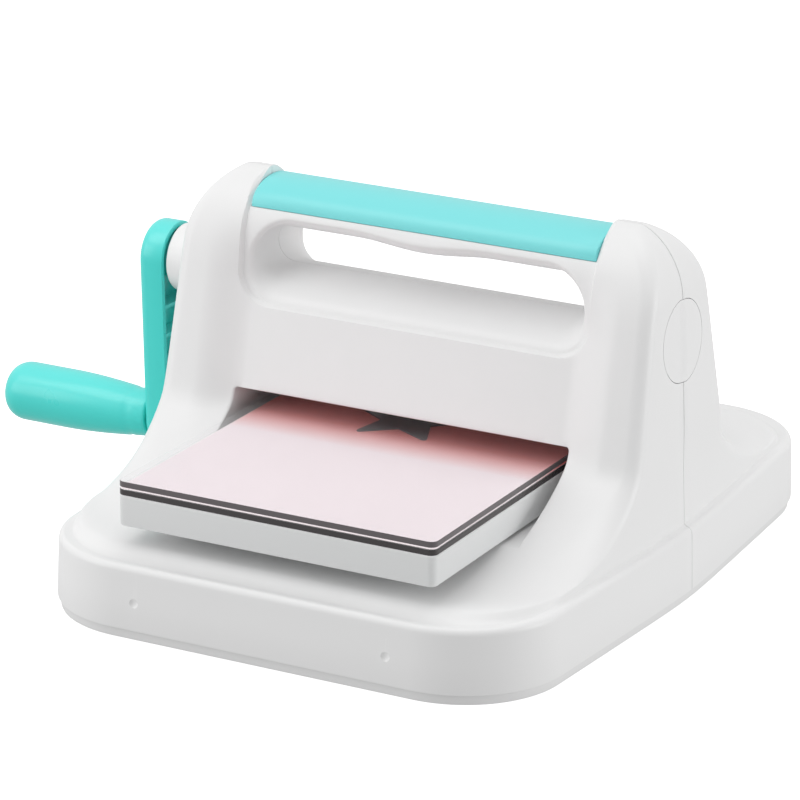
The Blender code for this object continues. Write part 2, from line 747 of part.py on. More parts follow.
def make_upper_roller(steel, gear_finish, ring_finish):
    """Upper roller with its drive gear on the left and its timing gear on the right."""
    spin = joint_empty("upper_roller_axis", (0.0, 0.0, UPPER_AXIS))
    origin = (0.0, 0.0, UPPER_AXIS)
    make_roller("upper_roller", UPPER_AXIS, steel, spin)
    drive = gear(DRIVE_TEETH, DRIVE_MODULE, -GEAR_OUTER, -GEAR_INNER, UPPER_AXIS,
                 math.pi / 2.0 + math.pi / DRIVE_TEETH, JOURNAL_RADIUS + FIT_GAP, 3.6)
    publish("upper_drive_gear", drive, gear_finish, origin, spin)
    timing = gear(TIMING_TEETH, TIMING_MODULE, GEAR_INNER, GEAR_OUTER, UPPER_AXIS,
                  -math.pi / 2.0, JOURNAL_RADIUS + FIT_GAP, 3.6)
    publish("upper_timing_gear", timing, gear_finish, origin, spin)
    places = (("left_ring", -GEAR_OUTER - 1.5), ("right_ring", GEAR_OUTER + 0.3))
    make_rings("upper_", UPPER_AXIS, JOURNAL_RADIUS, places, ring_finish, spin)


def make_lower_roller(steel, gear_finish, ring_finish):
    """Lower roller with its timing gear on the right."""
    spin = joint_empty("lower_roller_axis", (0.0, 0.0, LOWER_AXIS))
    origin = (0.0, 0.0, LOWER_AXIS)
    make_roller("lower_roller", LOWER_AXIS, steel, spin)
    timing = gear(TIMING_TEETH, TIMING_MODULE, GEAR_INNER, GEAR_OUTER, LOWER_AXIS,
                  math.pi / 2.0 + math.pi / TIMING_TEETH, JOURNAL_RADIUS + FIT_GAP, 3.6)
    publish("lower_timing_gear", timing, gear_finish, origin, spin)
    places = (("left_ring", -SIDE_PLATE_OUTER - 4.0), ("right_ring", GEAR_OUTER + 0.3))
    make_rings("lower_", LOWER_AXIS, JOURNAL_RADIUS, places, ring_finish, spin)


# ---------------------------------------------------------------- crank

def arm_outline(inset):
    """Outline of the crank arm: two circles and their tangents, drawn in the YZ plane."""
    top_radius = HUB_RADIUS - inset
    end_radius = ARM_END_RADIUS - inset
    lean = math.asin((top_radius - end_radius) / CRANK_THROW)
    points = []
    for i in range(13):
        angle = -lean + (math.pi + 2.0 * lean) * i / 12.0
        points.append((top_radius * math.cos(angle), CRANK_AXIS + top_radius * math.sin(angle)))
    for i in range(13):
        angle = math.pi + lean + (math.pi - 2.0 * lean) * i / 12.0
        points.append((end_radius * math.cos(angle),
                       CRANK_AXIS - CRANK_THROW + end_radius * math.sin(angle)))
    return points


def make_crank_arm(finish, parent):
    """Crank arm, a channel that is open towards the housing and has cross ribs."""
    hub = (0.0, CRANK_AXIS)
    end = (0.0, CRANK_AXIS - CRANK_THROW)
    arm = prism(arm_outline(0.0), ARM_OUTER, ARM_INNER, "X")
    pocket = prism(arm_outline(ARM_WALL), ARM_OUTER + 6.0, ARM_INNER + 1.0, "X")
    for i in range(4):
        height = CRANK_AXIS - 22.0 - 14.0 * i
        cut(pocket, box((ARM_OUTER, -20.0, height - 0.9), (ARM_INNER + 2.0, 20.0, height + 0.9)))
    cut(pocket, rod(10.5, ARM_OUTER, ARM_INNER + 2.0, hub))
    cut(pocket, rod(8.0, ARM_OUTER, ARM_INNER + 2.0, end))
    cut(arm, pocket)
    cut(arm, rod(SHAFT_RADIUS + FIT_GAP, ARM_OUTER + 4.0, ARM_INNER + 1.0, hub))
    cut(arm, rod(8.0, ARM_OUTER - 1.0, ARM_OUTER + 4.7, hub))
    cut(arm, rod(SPINDLE_RADIUS + FIT_GAP, ARM_OUTER - 1.0, ARM_INNER + 1.0, end))
    publish("crank_arm", arm, finish, (0.0, 0.0, CRANK_AXIS), parent)


def make_crank(turquoise, white, steel, gear_finish, ring_finish):
    """Crank shaft, pinion, arm, screw, cap and grip, which turn on the crank axis."""
    spin = joint_empty("crank_axis", (0.0, 0.0, CRANK_AXIS))
    centre = (0.0, CRANK_AXIS)
    origin = (0.0, 0.0, CRANK_AXIS)
    shaft_end = ARM_OUTER + 5.0
    shaft = rod(SHAFT_RADIUS, shaft_end, -91.0, centre, steps=24)
    cut(shaft, rod(2.1, shaft_end - 1.0, shaft_end + 12.0, centre, steps=12))
    publish("crank_shaft", shaft, steel, origin, spin)
    pinion = gear(PINION_TEETH, DRIVE_MODULE, -GEAR_OUTER, -GEAR_INNER, CRANK_AXIS,
                  -math.pi / 2.0, SHAFT_RADIUS + FIT_GAP)
    publish("pinion_gear", pinion, gear_finish, origin, spin)
    make_rings("crank_", CRANK_AXIS, SHAFT_RADIUS, (("shaft_ring", -93.5),), ring_finish, spin)
    make_crank_arm(turquoise, spin)
    head = shaft_end - FIT_GAP
    profile = ((head - 2.4, 0.0), (head - 2.4, 6.0), (head, 6.0), (head, 1.8),
               (shaft_end + 11.0, 1.8), (shaft_end + 11.0, 0.0))
    publish("arm_screw", turned(profile, centre, steps=20), steel, origin, spin)
    low = ARM_OUTER + 0.2
    cap = turned(((low, 0.0), (low, 7.2), (low + 0.4, 7.7), (head - 2.7, 7.7), (head - 2.7, 0.0)),
                 centre, steps=28)
    publish("arm_screw_cap", cap, white, origin, spin)
    make_grip(turquoise, steel, spin)


def make_grip(turquoise, steel, crank):
    """Grip spindle, fixed in the arm, and the grip that turns freely on it."""
    height = CRANK_AXIS - CRANK_THROW
    centre = (0.0, height)
    origin = (0.0, 0.0, height)
    spindle = rod(SPINDLE_RADIUS, GRIP_END + 7.0, ARM_INNER - 1.0, centre, steps=24)
    publish("grip_spindle", spindle, steel, origin, crank)
    spin = joint_empty("grip_axis", origin, crank)
    grip = turned(grip_profile(), centre, steps=28)
    cut(grip, rod(SPINDLE_RADIUS + FIT_GAP, GRIP_END + 6.0, GRIP_START + 1.0, centre, steps=24))
    publish("crank_grip", grip, turquoise, origin, spin)


def grip_profile():
    """Grip outline: slim at the arm, swelling to a blunt, rounded far end."""
    profile = [(GRIP_START, 0.0), (GRIP_START, 9.6), (GRIP_START - 0.8, 10.4)]
    length = GRIP_START - GRIP_END
    for i in range(1, 9):
        share = i / 9.5
        swell = 10.6 + 3.5 * math.sin(math.pi / 2.0 * min(share / 0.6, 1.0))
        profile.append((GRIP_START - length * share, swell))
    full = profile[-1][1]
    start = profile[-1][0]
    for i in range(1, 6):
        angle = math.pi / 2.0 * i / 6.0
        along = start + (GRIP_END - start) * math.sin(angle)
        profile.append((along, full * (0.35 + 0.65 * math.cos(angle))))
    profile.append((GRIP_END, full * 0.35))
    profile.append((GRIP_END, 0.0))
    return profile


# ---------------------------------------------------------------- stack

def stack_plate(bottom, thickness, half, front, rear, corner, chamfer=0.0):
    """A flat rectangular sheet or plate of the stack."""
    middle = (front + rear) / 2.0
    reach = (rear - front) / 2.0
    levels = [(bottom, 0.0), (bottom + thickness, 0.0)]
    if chamfer > 0.0:
        levels = [(bottom, chamfer), (bottom + chamfer, 0.0),
                  (bottom + thickness - chamfer, 0.0), (bottom + thickness, chamfer)]
    rings = []
    for height, inset in levels:
        outline = rounded_rectangle(half - inset, reach - inset, corner - inset)
        rings.append([(x, y + middle, height) for x, y in outline])
    return loft(rings)


def star_outline():
    """Outline of the five pointed die, with round tips."""
    points = []
    for i in range(5):
        tip = math.radians(DIE_TURN - 126.0 + 72.0 * i)
        for turn in (-0.06, 0.0, 0.06):
            radius = DIE_RADIUS - (0.0 if turn == 0.0 else 1.6)
            points.append((DIE_CENTRE[0] + radius * math.cos(tip + turn),
                           DIE_CENTRE[1] + radius * math.sin(tip + turn)))
        notch = tip + math.radians(36.0)
        points.append((DIE_CENTRE[0] + 0.46 * DIE_RADIUS * math.cos(notch),
                       DIE_CENTRE[1] + 0.46 * DIE_RADIUS * math.sin(notch)))
    return points


def make_stack(platform_finish, pad_finish, card_finish, die_finish):
    """Platform, lower pad, card, die and upper pad, which feed through together."""
    slide = joint_empty("stack_slide", (0.0, 0.0, PLATFORM_BOTTOM))
    origin = (0.0, 0.0, PLATFORM_BOTTOM)
    thickness = PLATFORM_TOP - PLATFORM_BOTTOM
    platform = stack_plate(PLATFORM_BOTTOM, thickness, STACK_HALF_WIDTH, STACK_FRONT, STACK_REAR,
                           STACK_CORNER, 0.8)
    publish("platform", platform, platform_finish, origin, slide)
    for name, bottom in (("lower_cutting_pad", LOWER_PAD_BOTTOM),
                         ("upper_cutting_pad", UPPER_PAD_BOTTOM)):
        pad = stack_plate(bottom, PAD_THICKNESS, STACK_HALF_WIDTH, STACK_FRONT, STACK_REAR,
                          STACK_CORNER, 0.3)
        publish(name, pad, pad_finish, origin, slide)
    card = stack_plate(CARD_BOTTOM, CARD_THICKNESS, STACK_HALF_WIDTH - CARD_INSET,
                       STACK_FRONT + CARD_INSET, STACK_REAR - CARD_INSET,
                       STACK_CORNER - CARD_INSET)
    publish("card_sheet", card, card_finish, origin, slide)
    die = prism(star_outline(), DIE_BOTTOM, DIE_BOTTOM + DIE_THICKNESS)
    publish("star_die", die, die_finish, origin, slide)


# ---------------------------------------------------------------- assembly

def main():
    """Build every piece."""
    clear_scene()
    white = material("white_plastic", (0.86, 0.86, 0.87), 0.42)
    base_white = material("base_plastic", (0.70, 0.70, 0.71), 0.5)
    turquoise = material("turquoise_plastic", (0.10, 0.68, 0.60), 0.36)
    rubber = material("rubber", (0.05, 0.05, 0.05), 0.85)
    steel = material("steel", (0.62, 0.63, 0.64), 0.28, 1.0)
    plate_steel = material("plate_steel", (0.50, 0.51, 0.52), 0.45, 1.0)
    gear_steel = material("gear_steel", (0.30, 0.30, 0.31), 0.45, 0.8)
    brass = material("brass", (0.72, 0.56, 0.30), 0.35, 1.0)
    clear = material("clear_pad", (0.80, 0.80, 0.82), 0.12)
    card = material("card", (0.90, 0.62, 0.62), 0.8)
    die_metal = material("die_metal", (0.14, 0.14, 0.15), 0.4, 0.9)

    make_shells(white)
    make_side_cap(white)
    make_crank_collar(white)
    make_handle_cover(turquoise)
    make_base_plate(base_white)
    make_feet(rubber)
    make_screws(steel)
    make_side_plates(plate_steel)
    make_tie_rods(steel)
    make_bushes(brass)
    make_upper_roller(steel, gear_steel, steel)
    make_lower_roller(steel, gear_steel, steel)
    make_crank(turquoise, white, steel, gear_steel, steel)
    make_stack(white, clear, card, die_metal)


main()
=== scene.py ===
import math

import bmesh
import bpy
from mathutils import Matrix, Vector


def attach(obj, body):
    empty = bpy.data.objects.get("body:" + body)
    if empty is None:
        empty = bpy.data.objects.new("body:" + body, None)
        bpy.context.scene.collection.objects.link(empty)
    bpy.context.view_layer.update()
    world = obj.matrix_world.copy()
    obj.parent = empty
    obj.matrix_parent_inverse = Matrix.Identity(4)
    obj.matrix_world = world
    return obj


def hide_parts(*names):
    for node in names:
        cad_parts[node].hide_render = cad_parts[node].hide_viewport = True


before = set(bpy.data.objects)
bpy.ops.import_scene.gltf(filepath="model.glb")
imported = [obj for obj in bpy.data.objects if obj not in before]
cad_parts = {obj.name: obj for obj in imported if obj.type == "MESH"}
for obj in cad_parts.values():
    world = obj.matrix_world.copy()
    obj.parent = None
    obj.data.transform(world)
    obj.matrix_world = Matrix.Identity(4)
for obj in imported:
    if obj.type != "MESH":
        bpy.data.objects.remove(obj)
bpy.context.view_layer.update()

MM = 0.001

# All dimensions below are in millimetres.

# Housing outline
BASE_HALF_WIDTH = 130.3
BASE_HALF_DEPTH = 166.0
BASE_CORNER = 49.0
SIDE_TAPER = 0.063
TAPER_FADE_START = 60.0
TAPER_FADE = 25.0
SHELL_BOTTOM = 6.5
RIDGE_HEIGHT = 36.0
RIDGE_CENTRE = 32.9
RIDGE_RISE = 3.2
RIDGE_ROUND = 3.0
RIDGE_INSET = 3.9
DECK_HALF_WIDTH = 125.4
SIDE_LEAN = 0.048
SHELL_WALL = 2.5
SEAM_GAP = 0.3
SEAM_SOFT = 18.0

# Flare and towers
FLARE_FLOOR = 36.5
FLARE_RISE = 30.0
FLARE_FADE = 36.0
FLARE_START = 50.0
DECK_DIP = 3.1
DECK_SWELL = 1.1
DECK_SIDE_DIP = 0.35
GROOVE_START = 148.0
GROOVE_WIDTH = 9.0
SWELL_DEPTH = 143.0
SWELL_SPREAD = 12.0
WALL_HALF_DEPTH = 31.5
WALL_LEAN = 0.213
WALL_BLEND = 1.5
CROWN_START = 134.0
TOWER_TOP = 172.8
CROWN_POWER = 2.5
SHOULDER_START = 140.0
TOP_HALF_WIDTH = 98.0
TOWER_CORNER = 7.0
TOWER_HALF_DEPTH = 45.0
PANEL_SETBACK = 6.0
PANEL_RISE_START = 48.0
PANEL_RISE = 26.0
PANEL_FADE_START = 125.0
PANEL_FADE = 35.0
PANEL_FADE_SHARE = 0.65
PANEL_EDGE = 80.0
TOWER_EDGE = 104.0
FINE_EDGE = 68.0
FINE_COLUMNS = 56
ARC_STEPS = 16

# Feed channel and hand opening
CHANNEL_HALF_WIDTH = 84.7
CHANNEL_FLOOR = 47.0
CHANNEL_TOP = 77.6
CHANNEL_ROUND = 1.0
LINER = 2.8
RECESS = 2.4
RECESS_SOFT = 0.6
RECESS_HALF_WIDTH = 87.9
RECESS_BOTTOM = 115.8
RECESS_CORNER = 15.0
RECESS_START = 90.0
RECESS_FADE = 10.0
HAND_HALF_WIDTH = 83.4
HAND_ROUND = 2.2
HAND_RIM = 116.0
HAND_CREST = 129.0
UNDER_DROP = 10.2
UNDER_HALF = 22.0
UNDER_EDGE = 154.5
HAND_CORNER = 14.0
HAND_TOP_CORNER = 19.0
HAND_RIM_DEPTH = 28.5
FINGER_BUMP = 2.4
FINGER_BUMP_HALF = 35.0
SLOT_FLOOR = 153.0
SLOT_HALF = 12.0
COVER_SEAT = 158.3
TOWER_INNER = 87.0
COVER_HALF_DEPTH = 19.4
COVER_HALF_LENGTH = 86.7
COVER_RISE = 10.8
COLLAR_RADIUS = 16.0
COLLAR_OUTER = -134.8
COLLAR_INNER = -116.0
SIDE_CUT = (112.0, 140.0)
CAP_RADIUS = 18.8
DIMPLES = ((-62.0, 19.5), (62.0, 19.5))
DIMPLE_RADIUS = 2.9
DIMPLE_START = -167.2
DIMPLE_ROUND = 2.4

# Base
PLATE_BOTTOM = 1.6
PLATE_TOP = 6.2
PLATE_INSET = 1.5
POCKET_FLOOR = 4.8
FOOT_RADIUS = 9.0
FOOT_RECESS = 3.2
FOOT_X = 92.0
FOOT_Y = 118.0
REST_PAD_RADIUS = 20.0
POST_RADIUS = 4.5
SCREW_HOLE = 1.5
SCREW_HEAD = 3.2
POST_X = 104.0
POST_Y = 96.0
TOWER_POST_X = 104.0
TOWER_POST_Z = 149.0

# Rollers and crank
ROLLER_RADIUS = 15.0
ROLLER_HALF_LENGTH = 82.0
JOURNAL_RADIUS = 6.0
JOURNAL_END = 114.0
SHAFT_RADIUS = 5.0
UPPER_AXIS = 84.75
LOWER_AXIS = 33.55
CRANK_AXIS = 122.25
FIT_GAP = 0.3
CRANK_THROW = 80.5
ARM_INNER = -136.5
ARM_OUTER = -150.0
ARM_ROUND = 5.0
HUB_RADIUS = 16.5
ARM_END_RADIUS = 12.5
ARM_WALL = 2.5
RIB_TOP = 22.0
RIB_STEP = 14.0
RIB_HALF = 0.9
SCREW_CAP_RADIUS = 7.7
SPINDLE_RADIUS = 4.0
GRIP_START = -150.8
GRIP_END = -229.2
GRIP_RADIUS = 10.6
GRIP_SWELL = 3.5
GRIP_SWELL_SHARE = 0.6
GRIP_NECK = 9.5
GRIP_STATIONS = 41.0
GRIP_FLAT = 0.48

# Stack
STACK_HALF_WIDTH = 78.0
STACK_FRONT = -152.4
STACK_REAR = 72.6
STACK_CORNER = 3.5
PLATFORM_BOTTOM = 48.75
PLATFORM_TOP = 62.8
PAD_THICKNESS = 2.8
LOWER_PAD_BOTTOM = 63.0
UPPER_PAD_BOTTOM = 66.65
CARD_BOTTOM = 65.85
CARD_THICKNESS = 0.25
CARD_INSET = 0.4
DIE_BOTTOM = 66.15
DIE_THICKNESS = 0.35
DIE_CENTRE = (-9.0, -11.5)
DIE_RADIUS = 27.8
DIE_TURN = 6.7

# Camera
CAMERA_PLACE = (870.698, -1687.878, 723.189)
CAMERA_YAW = 27.81
CAMERA_PITCH = 18.87
CAMERA_ROLL = 0.62
CAMERA_LENS = 198.27

# Lights: name, place in metres, size in metres and power in watts
LIGHT_TARGET = (0.0, 0.0, 0.07)
LIGHTS = (
    ("light_top", (0.0, 0.1, 1.6), 1.0, 4.2),
    ("light_left_front", (-1.3, -1.2, 0.6), 1.0, 5.8),
    ("light_left_high", (-0.8, -0.8, 1.6), 1.0, 6.6),
    ("light_right_low", (1.6, 0.3, 0.25), 0.8, 7.8),
)
WORLD_ABOVE = 0.67
WORLD_BELOW = 0.73
DARK_SIDE = (0.466, -0.884, 0.0)
DARK_LEVEL = 0.70
FLOOR_GLOW = 0.75


# ---------------- solids in millimetres

def solid(mesh_data):
    """Turn a closed bmesh into a plain object, with its faces pointing out."""
    bmesh.ops.recalc_face_normals(mesh_data, faces=mesh_data.faces)
    mesh = bpy.data.meshes.new("solid")
    mesh_data.to_mesh(mesh)
    mesh_data.free()
    made = bpy.data.objects.new("solid", mesh)
    bpy.context.scene.collection.objects.link(made)
    return made


def combine(target, tool, operation):
    """Apply one exact Boolean to the target and remove the tool."""
    modifier = target.modifiers.new("shape", "BOOLEAN")
    modifier.operation = operation
    modifier.solver = "EXACT"
    modifier.object = tool
    graph = bpy.context.evaluated_depsgraph_get()
    result = bpy.data.meshes.new_from_object(target.evaluated_get(graph))
    target.modifiers.clear()
    target.data = result
    bpy.data.objects.remove(tool, do_unlink=True)
    return target


def cut(target, *tools):
    """Cut each tool out of the target."""
    for tool in tools:
        combine(target, tool, "DIFFERENCE")
    return target


def gather(*tools):
    """Put tools that don't touch each other into one object."""
    first = tools[0]
    mesh_data = bmesh.new()
    for tool in tools:
        mesh_data.from_mesh(tool.data)
    mesh_data.to_mesh(first.data)
    mesh_data.free()
    for tool in tools[1:]:
        bpy.data.objects.remove(tool, do_unlink=True)
    return first


def to_space(axis, first, second, along):
    """Place a point of an outline that is drawn across the given axis."""
    if axis == "X":
        return (along, first, second)
    if axis == "Y":
        return (first, along, second)
    return (first, second, along)


def loft(rings):
    """Skin a list of rings, each with the same number of points, and cap both ends."""
    mesh_data = bmesh.new()
    loops = [[mesh_data.verts.new(point) for point in ring] for ring in rings]
    count = len(rings[0])
    for low, high in zip(loops, loops[1:]):
        for i in range(count):
            j = (i + 1) % count
            mesh_data.faces.new((low[i], low[j], high[j], high[i]))
    mesh_data.faces.new(loops[0])
    mesh_data.faces.new(loops[-1])
    return solid(mesh_data)


def prism(outline, low, high, axis="Z"):
    """Extrude an outline along an axis."""
    return loft([[to_space(axis, a, b, along) for a, b in outline] for along in (low, high)])


def box(low, high):
    """Return a box between two corners."""
    outline = [(low[0], low[1]), (high[0], low[1]), (high[0], high[1]), (low[0], high[1])]
    return prism(outline, low[2], high[2])


def circle(radius, centre=(0.0, 0.0), steps=64):
    """Return the points of a circle."""
    angles = [2.0 * math.pi * i / steps for i in range(steps)]
    return [(centre[0] + radius * math.cos(a), centre[1] + radius * math.sin(a)) for a in angles]


def rod(radius, low, high, centre=(0.0, 0.0), axis="X", steps=64):
    """Return a round bar along an axis; centre is across the axis."""
    return prism(circle(radius, centre, steps), low, high, axis)


def turned(profile, centre, axis="X", steps=64):
    """Turn a profile of (along, radius) points round an axis, from axis to axis."""
    mesh_data = bmesh.new()
    loops = []
    for along, radius in profile:
        points = circle(radius, centre, steps) if radius > 0.0 else [centre]
        loops.append([mesh_data.verts.new(to_space(axis, a, b, along)) for a, b in points])
    for low, high in zip(loops, loops[1:]):
        for i in range(steps):
            j = (i + 1) % steps
            if len(low) == 1:
                mesh_data.faces.new((low[0], high[j], high[i]))
            elif len(high) == 1:
                mesh_data.faces.new((low[i], low[j], high[0]))
            else:
                mesh_data.faces.new((low[i], low[j], high[j], high[i]))
    return solid(mesh_data)


def rounding(radius, start, end, steps=5):
    """Points of a quarter round as (shift, inset) pairs, between two angles in degrees."""
    pairs = []
    for i in range(steps + 1):
        angle = math.radians(start + (end - start) * i / steps)
        pairs.append((radius * (1.0 - math.sin(angle)), radius * (1.0 - math.cos(angle))))
    return pairs


def rounded_rectangle(half_a, half_b, radius, steps=8):
    """Return a rectangle outline with round corners, centred on zero."""
    points = []
    for quarter in range(4):
        start = quarter * math.pi / 2.0
        sign_a = 1.0 if quarter in (0, 3) else -1.0
        sign_b = 1.0 if quarter in (0, 1) else -1.0
        for i in range(steps + 1):
            angle = start + math.pi / 2.0 * i / steps
            a = sign_a * (half_a - radius) + radius * math.cos(angle)
            b = sign_b * (half_b - radius) + radius * math.sin(angle)
            points.append((a, b))
    return points


def publish(name, item, finish, body, nodes, smooth=35.0):
    """Name a finished solid, scale it to metres and hang it on its body."""
    item.data.transform(Matrix.Scale(MM, 4))
    item.data.shade_smooth()
    item.data.set_sharp_from_angle(angle=math.radians(smooth))
    item.data.materials.clear()
    item.data.materials.append(finish)
    item.name = name
    item.data.name = name
    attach(item, body)
    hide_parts(*nodes)
    return item


# ---------------- procedural finishes

def add_link(tree, source, target):
    """Link two sockets."""
    tree.links.new(source, target)


def noise_node(tree, coordinates, scale, detail):
    """Add a noise texture."""
    node = tree.nodes.new("ShaderNodeTexNoise")
    node.inputs["Scale"].default_value = scale
    node.inputs["Detail"].default_value = detail
    add_link(tree, coordinates, node.inputs["Vector"])
    return node


def range_node(tree, source, from_range, to_range):
    """Add a map range node."""
    node = tree.nodes.new("ShaderNodeMapRange")
    node.inputs["From Min"].default_value = from_range[0]
    node.inputs["From Max"].default_value = from_range[1]
    node.inputs["To Min"].default_value = to_range[0]
    node.inputs["To Max"].default_value = to_range[1]
    add_link(tree, source, node.inputs["Value"])
    return node.outputs["Result"]


def mix_node(tree, factor, first, second):
    """Mix two colours; each is a colour tuple or a socket."""
    node = tree.nodes.new("ShaderNodeMix")
    node.data_type = "RGBA"
    add_link(tree, factor, node.inputs[0])
    for socket, value in ((node.inputs[6], first), (node.inputs[7], second)):
        if isinstance(value, tuple):
            socket.default_value = (*value, 1.0)
        else:
            add_link(tree, value, socket)
    return node.outputs[2]


def tint(colour, amount):
    """Lighten or darken a colour."""
    return tuple(min(max(channel * (1.0 + amount), 0.0), 1.0) for channel in colour)


def finish(name, colour, roughness, variation=0.02, patch=40.0, grain=2500.0, relief=0.00001,
           wear=0.06, metallic=0.0, specular=0.5):
    """A procedural finish: colour patches, roughness, a fine grain and brighter worn edges."""
    made = bpy.data.materials.new(name)
    made.use_nodes = True
    tree = made.node_tree
    shader = tree.nodes["Principled BSDF"]
    shader.inputs["Metallic"].default_value = metallic
    shader.inputs["Specular IOR Level"].default_value = specular
    coordinates = tree.nodes.new("ShaderNodeTexCoord").outputs["Object"]
    patches = noise_node(tree, coordinates, patch, 3.0)
    fine = noise_node(tree, coordinates, grain, 2.0)
    base = mix_node(tree, patches.outputs["Fac"], tint(colour, -variation), tint(colour, variation))
    edges = tree.nodes.new("ShaderNodeNewGeometry").outputs["Pointiness"]
    worn = range_node(tree, edges, (0.52, 0.62), (0.0, 1.0))
    base = mix_node(tree, worn, base, tint(colour, wear))
    add_link(tree, base, shader.inputs["Base Color"])
    rough = range_node(tree, patches.outputs["Fac"], (0.15, 0.85),
                       (max(roughness - 0.05, 0.02), roughness + 0.05))
    add_link(tree, rough, shader.inputs["Roughness"])
    bump = tree.nodes.new("ShaderNodeBump")
    bump.inputs["Strength"].default_value = 0.4
    bump.inputs["Distance"].default_value = relief
    add_link(tree, fine.outputs["Fac"], bump.inputs["Height"])
    add_link(tree, bump.outputs["Normal"], shader.inputs["Normal"])
    return made


def clear_finish(name, colour, reflect):
    """A clear sheet: it lets the light straight through, with a little gloss and faint scuffs."""
    made = bpy.data.materials.new(name)
    made.use_nodes = True
    tree = made.node_tree
    output = tree.nodes["Material Output"]
    gloss = tree.nodes["Principled BSDF"]
    gloss.inputs["Base Color"].default_value = (0.9, 0.9, 0.9, 1.0)
    coordinates = tree.nodes.new("ShaderNodeTexCoord").outputs["Object"]
    scuffs = noise_node(tree, coordinates, 90.0, 6.0)
    rough = range_node(tree, scuffs.outputs["Fac"], (0.35, 0.65), (0.10, 0.22))
    add_link(tree, rough, gloss.inputs["Roughness"])
    through = tree.nodes.new("ShaderNodeBsdfTransparent")
    shade = mix_node(tree, scuffs.outputs["Fac"], tint(colour, -0.01), tint(colour, 0.01))
    add_link(tree, shade, through.inputs["Color"])
    fine = noise_node(tree, coordinates, 1500.0, 2.0)
    bump = tree.nodes.new("ShaderNodeBump")
    bump.inputs["Strength"].default_value = 0.2
    bump.inputs["Distance"].default_value = 0.000005
    add_link(tree, fine.outputs["Fac"], bump.inputs["Height"])
    add_link(tree, bump.outputs["Normal"], gloss.inputs["Normal"])
    blend = tree.nodes.new("ShaderNodeMixShader")
    blend.inputs[0].default_value = reflect
    add_link(tree, through.outputs[0], blend.inputs[1])
    add_link(tree, gloss.outputs[0], blend.inputs[2])
    add_link(tree, blend.outputs[0], output.inputs["Surface"])
    return made


def clear_edge_painted_shade_finish(name, colour):
    """Polished edge of a clear sheet, coloured dark as painted shade for the dark look of a clear
    edge; it can't be seen from inside the sheet.
    """
    made = finish(name, colour, 0.22, variation=0.04, patch=60.0, wear=0.0)
    tree = made.node_tree
    through = tree.nodes.new("ShaderNodeBsdfTransparent")
    inside = tree.nodes.new("ShaderNodeNewGeometry").outputs["Backfacing"]
    blend = tree.nodes.new("ShaderNodeMixShader")
    add_link(tree, inside, blend.inputs[0])
    add_link(tree, tree.nodes["Principled BSDF"].outputs[0], blend.inputs[1])
    add_link(tree, through.outputs[0], blend.inputs[2])
    add_link(tree, blend.outputs[0], tree.nodes["Material Output"].inputs["Surface"])
    return made


def glossy_finish_with_painted_light(name, lower, upper, roughness):
    """Glossy coloured plastic with painted light: painted highlight makes it paler where it faces
    up, painted shade makes it darker where it faces down.
    """
    made = finish(name, lower, roughness, variation=0.015, wear=0.08)
    tree = made.node_tree
    shader = tree.nodes["Principled BSDF"]
    shader.inputs["Coat Weight"].default_value = 0.25
    shader.inputs["Coat Roughness"].default_value = 0.2
    plain = shader.inputs["Base Color"].links[0].from_socket
    # Painted light: the colour runs from the darker painted shade colour on faces pointing down to
    # the paler painted highlight colour on faces pointing up.
    split = tree.nodes.new("ShaderNodeSeparateXYZ")
    facing = tree.nodes.new("ShaderNodeNewGeometry").outputs["Normal"]
    add_link(tree, facing, split.inputs[0])
    painted_shading_share = range_node(tree, split.outputs["Z"], (-0.8, 0.9), (0.0, 1.0))
    add_link(tree, mix_node(tree, painted_shading_share, plain, upper), shader.inputs["Base Color"])
    return made


def card_finish_with_painted_shade(name):
    """Pale pink card with painted shade: it turns coral towards the rear, where it lies in the
    shade under the bridge.
    """
    made = finish(name, (0.97, 0.88, 0.90), 0.7, variation=0.008, patch=25.0, grain=700.0,
                  relief=0.000002, wear=0.0)
    tree = made.node_tree
    shader = tree.nodes["Principled BSDF"]
    plain = shader.inputs["Base Color"].links[0].from_socket
    split = tree.nodes.new("ShaderNodeSeparateXYZ")
    coordinates = tree.nodes.new("ShaderNodeTexCoord").outputs["Object"]
    add_link(tree, coordinates, split.inputs[0])
    # Painted shade: between y = -57 mm and -30 mm the colour goes over to coral, where the card
    # lies under the bridge.
    painted_shading_share = range_node(tree, split.outputs["Y"], (-0.057, -0.030), (0.0, 1.0))
    shaded = mix_node(tree, painted_shading_share, plain, (0.95, 0.27, 0.25))
    add_link(tree, shaded, shader.inputs["Base Color"])
    return made


# ---------------- housing surface

def smooth_step(value):
    """Return an eased value between 0 and 1."""
    value = min(max(value, 0.0), 1.0)
    return value * value * (3.0 - 2.0 * value)


def half_width(height):
    """Half width of the housing above its ridge, on the seam."""
    if height <= SHOULDER_START:
        return DECK_HALF_WIDTH - SIDE_LEAN * (height - RIDGE_HEIGHT - 3.0)
    share = min((height - SHOULDER_START) / (TOWER_TOP - SHOULDER_START), 1.0)
    widest = half_width(SHOULDER_START)
    return TOP_HALF_WIDTH + (widest - TOP_HALF_WIDTH) * (1.0 - share ** 2) ** (2.0 / 3.0)


def half_depth(height):
    """Half depth of the housing above its ridge: a flare that runs up into the towers."""
    wall = WALL_HALF_DEPTH + WALL_LEAN * (CROWN_START - height)
    if height > CROWN_START:
        share = min((height - CROWN_START) / (TOWER_TOP - CROWN_START), 1.0)
        return wall * math.sqrt(1.0 - share ** CROWN_POWER)
    flare = FLARE_START - FLARE_FADE * math.log((height - FLARE_FLOOR) / FLARE_RISE)
    middle = (flare + wall) / 2.0
    return middle + math.hypot((flare - wall) / 2.0, WALL_BLEND)


def corner_radius(depth):
    """Plan radius of the corners, from the tight towers to the wide base corners."""
    share = (depth - TOWER_HALF_DEPTH) / (BASE_HALF_DEPTH - TOWER_HALF_DEPTH)
    return TOWER_CORNER + (BASE_CORNER - TOWER_CORNER) * min(max(share, 0.0), 1.0)


